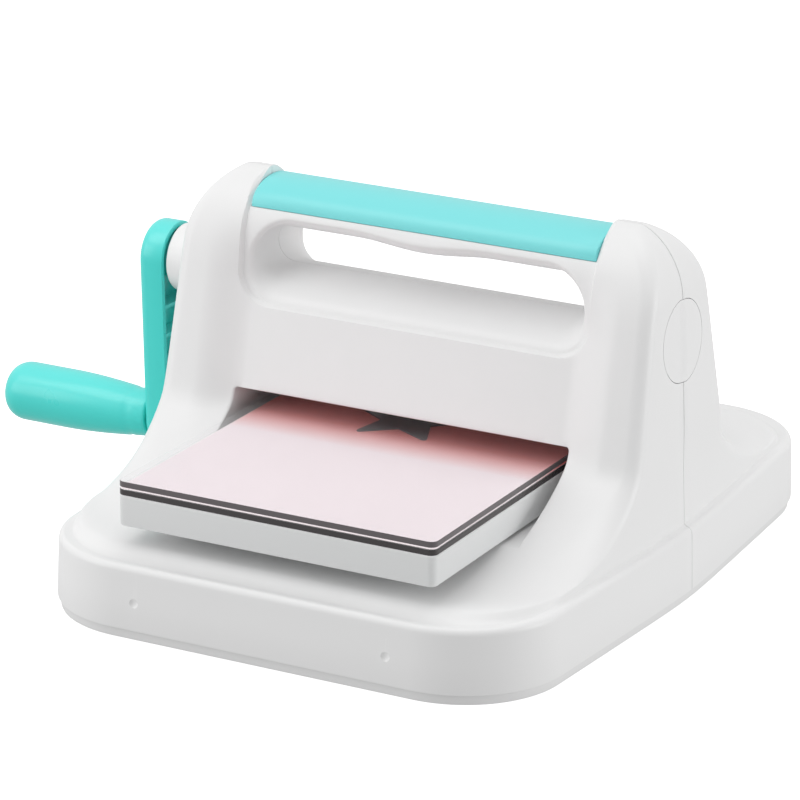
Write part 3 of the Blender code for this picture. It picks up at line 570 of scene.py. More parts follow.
def setback(height):
    """How far the panel between the towers lies behind their front faces."""
    rise = smooth_step((height - PANEL_RISE_START) / PANEL_RISE)
    high = smooth_step((height - PANEL_FADE_START) / PANEL_FADE)
    reach = PANEL_SETBACK * rise * (1.0 - PANEL_FADE_SHARE * high) - RECESS * high
    if reach <= 0.0:
        return 0.0
    return min(reach, half_depth(height) * 0.4)


def recess(x, height):
    """Depth of the soft step round the hand opening at one place."""
    across = abs(x) - (RECESS_HALF_WIDTH - RECESS_CORNER)
    below = RECESS_BOTTOM + RECESS_CORNER - height
    outside = math.hypot(max(across, 0.0), max(below, 0.0)) + min(max(across, below), 0.0)
    inside = RECESS_CORNER - outside
    return RECESS * smooth_step((inside + RECESS_SOFT) / (2.0 * RECESS_SOFT))


def surface_depth(x, height):
    """Depth of the front or rear surface between the tower corners."""
    share = (abs(x) - PANEL_EDGE) / (TOWER_EDGE - PANEL_EDGE)
    panel = setback(height) * (1.0 - smooth_step(share))
    return half_depth(height) - panel - recess(x, height)


def quarter_section(height, width, depth, radius, panel, steps, columns, step, taper):
    """One quarter of a level outline, from the right seam to the middle of the front."""
    radius = min(radius, depth * 0.8)
    slant = math.atan(taper)
    centre_y = depth - radius
    centre_x = width - taper * centre_y - radius / math.cos(slant)
    soft = min(SEAM_SOFT, centre_y * 0.6)
    quarter = []
    for share in (0.0, 0.06, 0.12, 0.2, 0.3, 0.45, 0.7):
        y = centre_y * share
        bend = (math.hypot(y, soft) - y) * (1.0 - share)
        quarter.append((width - taper * (y + bend), y))
    for i in range(steps + 1):
        angle = slant + (math.pi / 2.0 - slant) * i / steps
        quarter.append((centre_x + radius * math.cos(angle), centre_y + radius * math.sin(angle)))
    outer_edge = min(TOWER_EDGE, centre_x - 1.0)
    inner_edge = min(PANEL_EDGE, outer_edge - 12.0)
    last = min(FINE_EDGE, outer_edge - 24.0)
    places = [outer_edge + (last - outer_edge) * i / columns for i in range(columns + 1)]
    places += [last * share for share in (0.8, 0.6, 0.4, 0.2, 0.0)]
    for x in places:
        share = smooth_step((x - inner_edge) / (outer_edge - inner_edge))
        sunk = min(step * recess(x, height), depth * 0.25)
        quarter.append((x, depth - panel * (1.0 - share) - sunk))
    return quarter


def section(height, width, depth, radius, panel, steps=ARC_STEPS, columns=FINE_COLUMNS, step=0.0):
    """One level outline of the housing, going round from the right seam."""
    fade = smooth_step((height - TAPER_FADE_START) / TAPER_FADE)
    tapers = (SIDE_TAPER, SIDE_TAPER * (1.0 - fade))
    front, rear = (quarter_section(height, width, depth, radius, panel, steps, columns, step, taper)
                   for taper in tapers)
    seam = (front[0][0] + rear[0][0]) / 2.0
    right_front = [(seam, 0.0)] + [(x, -y) for x, y in front[1:]]
    left_front = [(-x, y) for x, y in reversed(right_front[:-1])]
    left_rear = [(-x, y) for x, y in rear[1:]]
    right_rear = [(x, y) for x, y in reversed(rear[1:-1])]
    outline = right_front + left_front + left_rear + right_rear
    return [(x, y, height) for x, y in outline]


def skirt_sections():
    """Levels of the outer wall of the base, up over its rounded ridge."""
    levels = [(SHELL_BOTTOM, 0.5), (SHELL_BOTTOM + 0.2, 0.15), (SHELL_BOTTOM + 0.6, 0.0),
              (20.0, 0.4), (RIDGE_HEIGHT - 4.5, 0.85)]
    for i in range(8):
        angle = math.pi / 2.0 * i / 7.0 * 0.94
        levels.append((RIDGE_CENTRE + RIDGE_RISE * math.sin(angle),
                       RIDGE_INSET - RIDGE_ROUND * math.cos(angle)))
    for height, drop in levels:
        width = BASE_HALF_WIDTH - drop
        depth = BASE_HALF_DEPTH - drop
        yield section(height, width, depth, BASE_CORNER - drop, 0.0)


def deck_levels():
    """Levels of the deck as (height, depth, dip), from the ridge in to the foot of the flare."""
    for depth in (158.8, 157.2, 155.5, 153.5, 151.5, 149.5, 147.5, 145.0, 141.5, 137.0, 131.0,
                  124.0, 116.0, 107.0, 98.0, 90.0):
        rise = FLARE_RISE * math.exp((FLARE_START - depth) / FLARE_FADE)
        dip = DECK_DIP * smooth_step((depth - GROOVE_START) / GROOVE_WIDTH)
        swell = DECK_SWELL * math.exp(-((depth - SWELL_DEPTH) / SWELL_SPREAD) ** 2)
        yield FLARE_FLOOR + rise + swell, depth, dip


def deck_section(height, depth, dip):
    """One level of the deck, lowered at the front and rear to leave a groove behind the ridge."""
    radius = corner_radius(depth)
    lowered = []
    for x, y, z in section(height, half_width(height), depth, radius, 0.0):
        share = smooth_step((abs(y) - depth + radius) / (radius * 0.6))
        lowered.append((x, y, z - dip * (DECK_SIDE_DIP + (1.0 - DECK_SIDE_DIP) * share)))
    return lowered


def body_heights():
    """Levels above the deck, closer together where the surface turns."""
    flare = [47.5, 49.5, 51.5, 54.0, 57.0, 60.5, 64.0, 67.5]
    wall = [71.0, 74.0, 77.0, 81.0, 86.0, 92.0, 99.0, 106.0, 111.0]
    fine = [112.6 + 0.6 * i for i in range(33)]
    upper = [CROWN_START, 137.0, SHOULDER_START, 143.0, 146.0, 149.0, 152.0, 155.0, 157.5, 160.0]
    crown = [162.0, 164.0, 165.8, 167.4, 168.8, 170.0, 171.0, 171.7, 172.2, 172.5, 172.7, 172.78]
    return flare + wall + fine + upper + crown


def outer_body():
    """The whole outer form of the housing as one solid."""
    rings = list(skirt_sections())
    rings += [deck_section(height, depth, dip) for height, depth, dip in deck_levels()]
    for height in body_heights():
        width = half_width(height)
        depth = half_depth(height)
        sink = smooth_step((height - RECESS_START) / RECESS_FADE)
        radius = corner_radius(depth)
        rings.append(section(height, width, depth, radius, setback(height), step=sink))
    return loft(rings)


def inner_body():
    """The hollow inside the housing, open below."""
    depth = BASE_HALF_DEPTH - SHELL_WALL - 1.0
    width = BASE_HALF_WIDTH - SHELL_WALL - 1.0
    rings = [section(height, width, depth, BASE_CORNER - SHELL_WALL, 0.0, 4, 4)
             for height in (0.0, RIDGE_HEIGHT - 5.0)]
    heights = (38.3, 40.0, 45.0, 53.0, 63.0, 76.0, 100.0, CROWN_START, SHOULDER_START, 149.0,
               157.0, 164.0)
    for outside in heights:
        depth = half_depth(outside)
        sunk = setback(outside) + recess(0.0, outside)
        inside_depth = min(depth, BASE_HALF_DEPTH - 8.0) - sunk - SHELL_WALL
        inside_width = half_width(outside) - SHELL_WALL
        radius = max(corner_radius(depth) - SHELL_WALL, 3.0)
        height = outside - SHELL_WALL
        rings.append(section(height, inside_width, inside_depth, radius, 0.0, 4, 4))
    return loft(rings)


# ---------------- housing pieces

def hump(depth, drop=0.0):
    """Height of the rounded bridge floor under the handle, at a distance from the seam."""
    rise = HAND_CREST - HAND_RIM
    radius = (HAND_RIM_DEPTH ** 2 + rise ** 2) / (2.0 * rise)
    reach = min(abs(depth), HAND_RIM_DEPTH)
    return HAND_CREST - radius + math.sqrt(radius ** 2 - reach ** 2) - drop


def underside(depth):
    """Height of the rounded underside of the handle, at a distance from the seam."""
    reach = min(abs(depth) / UNDER_HALF, 1.0)
    return min(COVER_SEAT - UNDER_DROP * math.sqrt(1.0 - reach ** 2), UNDER_EDGE)


def bridge_block():
    """The region from the bridge floor upwards that stays solid between the towers."""
    steps = [HAND_RIM_DEPTH * i / 6.0 for i in range(-6, 7)]
    floor = [(y, hump(y, SHELL_WALL)) for y in steps]
    outline = [(-80.0, 200.0), (-80.0, floor[0][1])] + floor + [(80.0, floor[-1][1]), (80.0, 200.0)]
    half = TOWER_INNER + SHELL_WALL
    return prism(outline, -half, half, "X")


def hand_outline(low, high, grow):
    """Outline of the hand opening, with a bump for the fingers in the underside of the handle."""
    radius = min(HAND_CORNER, (high - low) * 0.48) + grow
    low -= grow
    high += grow
    arc = [math.pi / 2.0 * i / 10.0 for i in range(11)]
    inner = HAND_HALF_WIDTH + grow - radius
    right_low = [(inner + radius * math.cos(a), low + radius - radius * math.sin(a)) for a in arc]
    top = min(HAND_TOP_CORNER, (high - low) - radius - 0.5) + grow
    inner_top = HAND_HALF_WIDTH + grow - top
    right_top = [(inner_top + top * math.cos(a), high - top + top * math.sin(a))
                 for a in reversed(arc)]
    floor = [(x, low) for x in (60.0, 50.0, 40.0, 20.0, 0.0, -20.0, -40.0, -50.0, -60.0)]
    left_low = [(-x, z) for x, z in reversed(right_low)]
    left_top = [(-x, z) for x, z in reversed(right_top)]
    bump = [(-50.0, high), (-42.0, high)]
    for i in range(-8, 9):
        drop = FINGER_BUMP * math.cos(math.pi * i / 16.0) ** 2
        bump.append((FINGER_BUMP_HALF * i / 8.0, high - drop))
    bump += [(42.0, high), (50.0, high)]
    return right_low + floor + left_low + left_top + bump + right_top


def hand_opening(side):
    """Half of the space for the hand, from beyond the seam out through one rounded mouth."""
    rings = []
    foot = surface_depth(0.0, HAND_RIM + 3.0)
    head = surface_depth(0.0, UNDER_EDGE)
    pairs = rounding(HAND_ROUND, 0.0, 78.0, 7)
    first = pairs[0][0]
    for share in (-0.15, 0.0, 0.15, 0.3, 0.45, 0.6, 0.74, 0.82, 0.9, 0.95):
        outline = hand_outline(hump(share * (foot - first)), underside(share * (head - first)), 0.0)
        rings.append([(x, side * share * (surface_depth(x, z) - first), z) for x, z in outline])
    shift, grow = pairs[-1]
    pairs.append((shift - 0.2, grow + 0.8))
    for shift, grow in pairs:
        outline = hand_outline(hump(foot - shift), underside(head - shift), grow)
        rings.append([(x, side * (surface_depth(x, z) - shift), z) for x, z in outline])
    grow = pairs[-1][1]
    rings.append([(x, side * 70.0, z) for x, z in hand_outline(hump(foot), underside(head), grow)])
    return loft(rings)


def channel_outline(grow):
    """Outline of the feed channel, with many points up its sides."""
    half = CHANNEL_HALF_WIDTH + grow
    high = CHANNEL_TOP + grow
    radius = 1.5 + grow
    corner = [(half - radius + radius * math.cos(math.pi / 2.0 * i / 5.0),
               high - radius + radius * math.sin(math.pi / 2.0 * i / 5.0)) for i in range(6)]
    rise = [CHANNEL_FLOOR + (high - radius - CHANNEL_FLOOR) * (i / 26.0) ** 1.3 for i in range(26)]
    right = [(half, z) for z in rise] + corner
    top = [(x, high) for x in (60.0, 30.0, 0.0, -30.0, -60.0)]
    left = [(-x, z) for x, z in reversed(right)]
    floor = [(x, CHANNEL_FLOOR) for x in (-60.0, -30.0, 0.0, 30.0, 60.0)]
    return right + top + left + floor


def channel_opening(side):
    """Half of the feed channel, with a slightly rounded mouth."""
    rings = [[(x, side * y, z) for x, z in channel_outline(0.0)] for y in (-4.0, 20.0)]
    pairs = rounding(CHANNEL_ROUND, 0.0, 78.0, 4)
    shift, grow = pairs[-1]
    pairs.append((shift - 0.15, grow + 0.5))
    for shift, grow in pairs:
        rings.append([(x, side * (surface_depth(x, z) - shift), z)
                      for x, z in channel_outline(grow)])
    grow = pairs[-1][1]
    rings.append([(x, side * 260.0, z) for x, z in channel_outline(grow)])
    return loft(rings)


def post_places():
    """Places of the posts that the base screws go into."""
    return [(x * POST_X, y * POST_Y) for x in (-1.0, 1.0) for y in (-1.0, 1.0)]


def housing_cavity():
    """The hollow of the housing less the liners and posts that stand in it."""
    hollow = inner_body()
    half = CHANNEL_HALF_WIDTH + LINER
    channel = box((-half, -250.0, CHANNEL_FLOOR - LINER), (half, 250.0, CHANNEL_TOP + LINER))
    cut(hollow, channel, bridge_block())
    for x, y in post_places():
        cut(hollow, rod(POST_RADIUS, -5.0, 60.0, (x, y), "Z", 24))
    for x in (-TOWER_POST_X, TOWER_POST_X):
        cut(hollow, rod(POST_RADIUS, -60.0, 60.0, (x, TOWER_POST_Z), "Y", 24))
    return hollow


def dimple(x, height):
    """A small round dimple in the front wall of the base."""
    profile = [(DIMPLE_START, 0.0), (DIMPLE_START, DIMPLE_RADIUS)]
    for i in range(1, 9):
        angle = math.pi / 2.0 * i / 8.0
        along = DIMPLE_START + DIMPLE_ROUND * math.sin(angle)
        profile.append((along, DIMPLE_RADIUS * math.cos(angle)))
    profile[-1] = (profile[-1][0], 0.0)
    return turned(profile, (x, height), "Y", 32)


def screw_holes(side):
    """Holes of the screws in one half."""
    holes = []
    for x, y in post_places():
        if y * side > 0.0:
            holes.append(rod(SCREW_HOLE, 0.0, 24.0, (x, y), "Z", 16))
    for x in (-TOWER_POST_X, TOWER_POST_X):
        holes.append(rod(SCREW_HOLE, -14.0, 60.0, (x, TOWER_POST_Z), "Y", 16))
    return holes


def housing_half(side):
    """One hollow half of the housing, in front of the seam or behind it."""
    shell = outer_body()
    low, high = sorted((side * SEAM_GAP / 2.0, side * -250.0))
    cut(shell, box((-200.0, low, -20.0), (200.0, high, 220.0)))
    cut(shell, housing_cavity())
    cut(shell, channel_opening(side))
    slot_half = ROLLER_RADIUS + 3.0
    slot_side = CHANNEL_HALF_WIDTH + LINER + 1.0
    upper_slot = box((-slot_side, -slot_half, CHANNEL_TOP - 3.0), (slot_side, slot_half, 86.0))
    lower_slot = box((-ROLLER_HALF_LENGTH - 2.0, -slot_half, 40.0),
                     (ROLLER_HALF_LENGTH + 2.0, slot_half, CHANNEL_FLOOR + 1.0))
    cut(shell, gather(upper_slot, lower_slot))
    cut(shell, hand_opening(side))
    cut(shell, box((-TOWER_INNER, -60.0, COVER_SEAT), (TOWER_INNER, 60.0, 200.0)))
    cut(shell, box((-TOWER_INNER + 3.0, -SLOT_HALF, SLOT_FLOOR),
                   (TOWER_INNER - 3.0, SLOT_HALF, 165.0)))
    tools = [rod(COLLAR_RADIUS + FIT_GAP, -SIDE_CUT[1], -SIDE_CUT[0], (0.0, CRANK_AXIS)),
             rod(CAP_RADIUS + FIT_GAP, *SIDE_CUT, (0.0, CRANK_AXIS))] + screw_holes(side)
    if side < 0.0:
        tools += [dimple(x, z) for x, z in DIMPLES]
    cut(shell, gather(*tools))
    if side > 0.0:
        for x in (-TOWER_POST_X, TOWER_POST_X):
            cut(shell, rod(SCREW_HEAD, 16.0, 60.0, (x, TOWER_POST_Z), "Y", 24))
    return shell


def make_shells(white):
    """Front and rear shells, which meet on a seam at y = 0."""
    publish("shell_front", housing_half(-1.0), white, "housing",
            ("front_shell",), 30.0)
    publish("shell_rear", housing_half(1.0), white, "housing",
            ("rear_shell",), 30.0)


def make_side_cap(white):
    """Round cap over the end of the roller frame, flush with the right tower."""
    cap = rod(CAP_RADIUS, *SIDE_CUT, (0.0, CRANK_AXIS), steps=96)
    combine(cap, outer_body(), "INTERSECT")
    cut(cap, box((100.0, -40.0, 80.0), (117.0, 40.0, 160.0)))
    publish("cap_right", cap, white, "housing", ("side_cap",))


def make_collar(white):
    """Round collar that guides the crank shaft where it leaves the left tower."""
    centre = (0.0, CRANK_AXIS)
    profile = [(COLLAR_OUTER, 0.0)]
    for shift, inset in reversed(rounding(1.6, 0.0, 90.0, 6)):
        profile.append((COLLAR_OUTER + shift, COLLAR_RADIUS - inset))
    profile += [(COLLAR_INNER, COLLAR_RADIUS), (COLLAR_INNER, 0.0)]
    collar = turned(profile, centre, steps=96)
    cut(collar, rod(SHAFT_RADIUS + FIT_GAP, -140.0, -110.0, centre))
    publish("collar_left", collar, white, "housing", ("crank_collar",))


def cover_outline(half, low, rise, steps=40):
    """Half round outline of the handle cover."""
    outline = []
    for i in range(steps + 1):
        angle = math.pi * i / steps
        outline.append((half * math.cos(angle), low + rise * math.sin(angle) ** 0.9))
    return outline


def make_handle_cover(turquoise):
    """Arched grip cover between the towers, hollow and open below."""
    low = COVER_SEAT + FIT_GAP
    rings = []
    stations = [(shift, inset) for shift, inset in rounding(0.6, 90.0, 0.0, 4)]
    far = [(2.0 * COVER_HALF_LENGTH - shift, inset) for shift, inset in reversed(stations)]
    stations += [(2.0 * COVER_HALF_LENGTH * i / 16.0, 0.0) for i in range(1, 16)] + far
    for shift, inset in stations:
        outline = cover_outline(COVER_HALF_DEPTH - inset, low, COVER_RISE - inset)
        rings.append([(-COVER_HALF_LENGTH + shift, y, z) for y, z in outline])
    cover = loft(rings)
    inside = prism(cover_outline(COVER_HALF_DEPTH - 2.5, COVER_SEAT - 1.0, COVER_RISE - 1.3),
                   -COVER_HALF_LENGTH + 2.5, COVER_HALF_LENGTH - 2.5, "X")
    publish("grip_cover", cut(cover, inside), turquoise, "housing",
            ("handle_cover",), 40.0)


def foot_places():
    """Places of the four feet."""
    return [(x * FOOT_X, y * FOOT_Y) for y in (-1.0, 1.0) for x in (-1.0, 1.0)]


def make_base_plate(white):
    """Flat plate that closes the housing below, with a raised pad to stand on."""
    rings = []
    for height, drop in ((PLATE_BOTTOM, 0.9), (PLATE_BOTTOM + 0.3, 0.3), (PLATE_BOTTOM + 0.9, 0.0),
                         (PLATE_TOP, 0.0)):
        width = BASE_HALF_WIDTH - PLATE_INSET - drop
        depth = BASE_HALF_DEPTH - PLATE_INSET - drop
        rings.append(section(height, width, depth, BASE_CORNER - PLATE_INSET - drop, 0.0, 24, 6))
    plate = loft(rings)
    combine(plate, rod(REST_PAD_RADIUS, 0.0, PLATE_BOTTOM + 1.0, axis="Z"), "UNION")
    cut(plate, box((-119.0, -62.0, POCKET_FLOOR), (119.0, 62.0, 20.0)))
    for x, y in foot_places():
        cut(plate, rod(FOOT_RADIUS + FIT_GAP, -1.0, FOOT_RECESS, (x, y), "Z", 48))
    for x, y in post_places():
        cut(plate, rod(4.0, -1.0, 3.4, (x, y), "Z", 32))
        cut(plate, rod(1.8, -1.0, 20.0, (x, y), "Z", 24))
    publish("plate_base", plate, white, "housing", ("base_plate",))


def make_feet(rubber):
    """Four round rubber feet, sunk in recesses of the base plate."""
    names = ("front_left", "front_right", "rear_left", "rear_right")
    top = FOOT_RECESS - FIT_GAP
    for name, place in zip(names, foot_places()):
        profile = [(0.0, 0.0), (0.0, FOOT_RADIUS - 2.4), (0.25, FOOT_RADIUS - 1.9)]
        for shift, inset in reversed(rounding(0.9, 0.0, 60.0, 5)):
            profile.append((0.25 + shift, FOOT_RADIUS - inset))
        profile += [(top, FOOT_RADIUS), (top, 0.0)]
        publish("pad_" + name, turned(profile, place, "Z", 48), rubber, "housing",
                ("foot_" + name,))


# ---------------- rollers

def make_roller(name, height, steel, body, node):
    """A pressure roller with rounded ends and its two journals."""
    barrel = ROLLER_HALF_LENGTH
    profile = [(-JOURNAL_END, 0.0), (-JOURNAL_END, JOURNAL_RADIUS - 0.6),
               (-JOURNAL_END + 0.6, JOURNAL_RADIUS), (-barrel, JOURNAL_RADIUS)]
    for shift, inset in reversed(rounding(1.0, 0.0, 90.0, 5)):
        profile.append((-barrel + shift, ROLLER_RADIUS - inset))
    profile += [(-along, radius) for along, radius in reversed(profile)]
    publish(name, turned(profile, (0.0, height), steps=96), steel, body, (node,))


# ---------------- crank

def arm_outline(inset):
    """Outline of the crank arm: two circles and their tangents, drawn in the YZ plane."""
    top_radius = HUB_RADIUS - inset
    end_radius = ARM_END_RADIUS - inset
    lean = math.asin((top_radius - end_radius) / CRANK_THROW)
    points = []
    for i in range(33):
        angle = -lean + (math.pi + 2.0 * lean) * i / 32.0
        points.append((top_radius * math.cos(angle), CRANK_AXIS + top_radius * math.sin(angle)))
    for i in range(33):
        angle = math.pi + lean + (math.pi - 2.0 * lean) * i / 32.0
        points.append((end_radius * math.cos(angle),
                       CRANK_AXIS - CRANK_THROW + end_radius * math.sin(angle)))
    return points


def make_crank_arm(turquoise):
    """Crank arm with a rounded back, a channel towards the housing and cross ribs."""
    hub = (0.0, CRANK_AXIS)
    end = (0.0, CRANK_AXIS - CRANK_THROW)
    levels = [(ARM_OUTER + shift, inset) for shift, inset in rounding(ARM_ROUND, 90.0, 0.0, 10)]
    levels += [(ARM_INNER - 0.5, 0.0), (ARM_INNER - 0.15, 0.12), (ARM_INNER, 0.45)]
    arm = loft([[(x, y, z) for y, z in arm_outline(inset)] for x, inset in levels])
    pocket = prism(arm_outline(ARM_WALL), ARM_OUTER + 6.0, ARM_INNER + 1.0, "X")
    for i in range(4):
        height = CRANK_AXIS - RIB_TOP - RIB_STEP * i
        cut(pocket, box((ARM_OUTER, -20.0, height - RIB_HALF),
                        (ARM_INNER + 2.0, 20.0, height + RIB_HALF)))
    cut(pocket, rod(10.5, ARM_OUTER, ARM_INNER + 2.0, hub))
    cut(pocket, rod(8.0, ARM_OUTER, ARM_INNER + 2.0, end))
    cut(arm, pocket)
    cut(arm, rod(SHAFT_RADIUS + FIT_GAP, ARM_OUTER + 4.0, ARM_INNER + 1.0, hub))
    cut(arm, rod(8.0, ARM_OUTER - 1.0, ARM_OUTER + 4.7, hub))
    cut(arm, rod(SPINDLE_RADIUS + FIT_GAP, ARM_OUTER - 1.0, ARM_INNER + 1.0, end))
    publish("arm_crank", arm, turquoise, "crank", ("crank_arm",), 40.0)


def make_screw_cap(white):
    """Domed cap over the arm screw."""
    low = ARM_OUTER + 0.2
    top = ARM_OUTER + 2.0
    profile = [(low - 0.1, 0.0), (low, 4.5)]
    for shift, inset in reversed(rounding(0.9, 0.0, 80.0, 6)):
        profile.append((low + shift, SCREW_CAP_RADIUS - inset))
    profile += [(top, SCREW_CAP_RADIUS), (top, 0.0)]
    publish("cap_screw", turned(profile, (0.0, CRANK_AXIS), steps=64), white, "crank",
            ("arm_screw_cap",))


def make_spindle(steel):
    """Grip spindle, fixed in the arm, with chamfered ends."""
    low = GRIP_END + 7.0
    high = ARM_INNER - 1.0
    profile = ((low, 0.0), (low, SPINDLE_RADIUS - 0.5), (low + 0.5, SPINDLE_RADIUS),
               (high - 0.5, SPINDLE_RADIUS), (high, SPINDLE_RADIUS - 0.5), (high, 0.0))
    centre = (0.0, CRANK_AXIS - CRANK_THROW)
    publish("spindle_grip", turned(profile, centre), steel, "crank", ("grip_spindle",))


def grip_profile():
    """Grip outline: slim at the arm, a neck line, then swelling to a blunt, rounded far end."""
    profile = [(GRIP_START, 0.0)]
    for shift, inset in reversed(rounding(1.6, 0.0, 90.0, 6)):
        profile.append((GRIP_START - shift, GRIP_RADIUS - inset))
    length = GRIP_START - GRIP_END
    for i in range(2, 37):
        share = i / GRIP_STATIONS
        reach = min(share / GRIP_SWELL_SHARE, 1.0)
        swell = GRIP_RADIUS + GRIP_SWELL * math.sin(math.pi / 2.0 * reach)
        neck = 0.35 * math.exp(-((share * length - GRIP_NECK) / 0.8) ** 2)
        profile.append((GRIP_START - length * share, swell - neck))
    start, full = profile[-1]
    for i in range(1, 25):
        angle = math.pi / 2.0 * i / 24.0
        along = start + (GRIP_END - start) * math.sin(angle)
        profile.append((along, full * (GRIP_FLAT + (1.0 - GRIP_FLAT) * math.cos(angle))))
    profile.append((GRIP_END - 0.05, full * GRIP_FLAT / 2.0))
    profile.append((GRIP_END - 0.06, 0.0))
    return profile


def make_grip(turquoise):
    """The grip, which turns freely on the spindle."""
    centre = (0.0, CRANK_AXIS - CRANK_THROW)
    grip = turned(grip_profile(), centre, steps=96)
    cut(grip, rod(SPINDLE_RADIUS + FIT_GAP, GRIP_END + 6.0, GRIP_START + 1.0, centre))
    publish("grip_crank", grip, turquoise, "grip", ("crank_grip",), 50.0)


# ---------------- stack

def stack_plate(bottom, thickness, half, front, rear, corner, round_edge):
    """A flat rectangular sheet or plate of the stack, with rounded edges."""
    middle = (front + rear) / 2.0
    reach = (rear - front) / 2.0
    turn = rounding(round_edge, 90.0, 0.0, 5)
    levels = [(bottom + shift, inset) for shift, inset in turn]
    levels += [(bottom + thickness - shift, inset) for shift, inset in reversed(turn)]
    rings = []
    for height, inset in levels:
        outline = rounded_rectangle(half - inset, reach - inset, corner - inset)
        rings.append([(x, y + middle, height) for x, y in outline])
    return loft(rings)


def star_outline(inset):
    """Outline of the five pointed die, with round tips."""
    points = []
    for i in range(5):
        tip = math.radians(DIE_TURN - 126.0 + 72.0 * i)
        for j in range(-4, 5):
            turn = 0.07 * j / 4.0
            radius = DIE_RADIUS - inset * 1.8 - 2.0 * (j / 4.0) ** 2
            points.append((DIE_CENTRE[0] + radius * math.cos(tip + turn),
                           DIE_CENTRE[1] + radius * math.sin(tip + turn)))
        notch = tip + math.radians(36.0)
        inner = 0.46 * DIE_RADIUS - inset
        points.append((DIE_CENTRE[0] + inner * math.cos(notch),
                       DIE_CENTRE[1] + inner * math.sin(notch)))
    return points


def edge_faces(item, edge_material):
    """Give the upright faces of a sheet a second material."""
    item.data.materials.append(edge_material)
    for face in item.data.polygons:
        if abs(face.normal.z) < 0.8:
            face.material_index = 1


def make_stack(platform_white, clear, upper_edge_painted_shade, lower_edge_painted_shade, card, die_metal):
    """Platform, lower pad, card, die and upper pad, which feed through together."""
    platform = stack_plate(PLATFORM_BOTTOM, PLATFORM_TOP - PLATFORM_BOTTOM, STACK_HALF_WIDTH,
                           STACK_FRONT, STACK_REAR, STACK_CORNER, 0.9)
    publish("plate_platform", platform, platform_white, "stack", ("platform",))
    for name, bottom, edge in (("lower", LOWER_PAD_BOTTOM, lower_edge_painted_shade),
                               ("upper", UPPER_PAD_BOTTOM, upper_edge_painted_shade)):
        pad = stack_plate(bottom, PAD_THICKNESS, STACK_HALF_WIDTH, STACK_FRONT, STACK_REAR,
                          STACK_CORNER, 0.3)
        pad = publish("pad_" + name, pad, clear, "stack", (name + "_cutting_pad",))
        edge_faces(pad, edge)
    sheet = stack_plate(CARD_BOTTOM, CARD_THICKNESS, STACK_HALF_WIDTH - CARD_INSET,
                        STACK_FRONT + CARD_INSET, STACK_REAR - CARD_INSET,
                        STACK_CORNER - CARD_INSET, 0.1)
    publish("sheet_card", sheet, card, "stack", ("card_sheet",))
    levels = ((DIE_BOTTOM, 0.0), (DIE_BOTTOM + DIE_THICKNESS - 0.12, 0.0),
              (DIE_BOTTOM + DIE_THICKNESS, 0.15))
    die = loft([[(x, y, z) for x, y in star_outline(inset)] for z, inset in levels])
    publish("die_star", die, die_metal, "stack", ("star_die",))


# ---------------- setting

def aim_camera():
    """Put the camera at the angle of the reference view."""
    yaw, pitch, roll = (math.radians(v) for v in (CAMERA_YAW, CAMERA_PITCH, CAMERA_ROLL))
    forward = Vector((-math.sin(yaw) * math.cos(pitch), math.cos(yaw) * math.cos(pitch),
                      -math.sin(pitch)))
    level = forward.cross(Vector((0.0, 0.0, 1.0))).normalized()
    rise = level.cross(forward)
    right = level * math.cos(roll) + rise * math.sin(roll)
    up = rise * math.cos(roll) - level * math.sin(roll)
    turn = Matrix((right, up, -forward)).transposed().to_4x4()
    data = bpy.data.cameras.new("camera")
    data.lens = CAMERA_LENS
    data.sensor_width = 36.0
    data.clip_start = 0.05
    data.clip_end = 20.0
    camera = bpy.data.objects.new("camera", data)
    bpy.context.scene.collection.objects.link(camera)
    camera.matrix_world = Matrix.Translation(Vector(CAMERA_PLACE) * MM) @ turn
    bpy.context.scene.camera = camera


def area_light(name, place, target, size, power):
    """A large soft light that points at a target; places are in metres."""
    data = bpy.data.lights.new(name, "AREA")
    data.shape = "RECTANGLE"
    data.size = size[0]
    data.size_y = size[1]
    data.energy = power
    lamp = bpy.data.objects.new(name, data)
    bpy.context.scene.collection.objects.link(lamp)
    lamp.location = place
    aim = Vector(target) - Vector(place)
    lamp.rotation_euler = aim.to_track_quat("-Z", "Y").to_euler()
    return lamp


def make_floor():
    """A pale floor that stays almost white."""
    mesh_data = bmesh.new()
    bmesh.ops.create_grid(mesh_data, x_segments=8, y_segments=8, size=6.0)
    mesh = bpy.data.meshes.new("floor")
    mesh_data.to_mesh(mesh)
    mesh_data.free()
    floor = bpy.data.objects.new("floor", mesh)
    bpy.context.scene.collection.objects.link(floor)
    floor.location = (0.0, 0.0, -0.0002)
    made = finish("floor_white", (0.80, 0.80, 0.80), 0.9, variation=0.003, patch=3.0, wear=0.0,
                  specular=0.1)
    shader = made.node_tree.nodes["Principled BSDF"]
    shader.inputs["Emission Color"].default_value = (1.0, 1.0, 1.0, 1.0)
    shader.inputs["Emission Strength"].default_value = FLOOR_GLOW
    mesh.materials.append(made)
    floor.visible_diffuse = False
    floor.visible_glossy = False


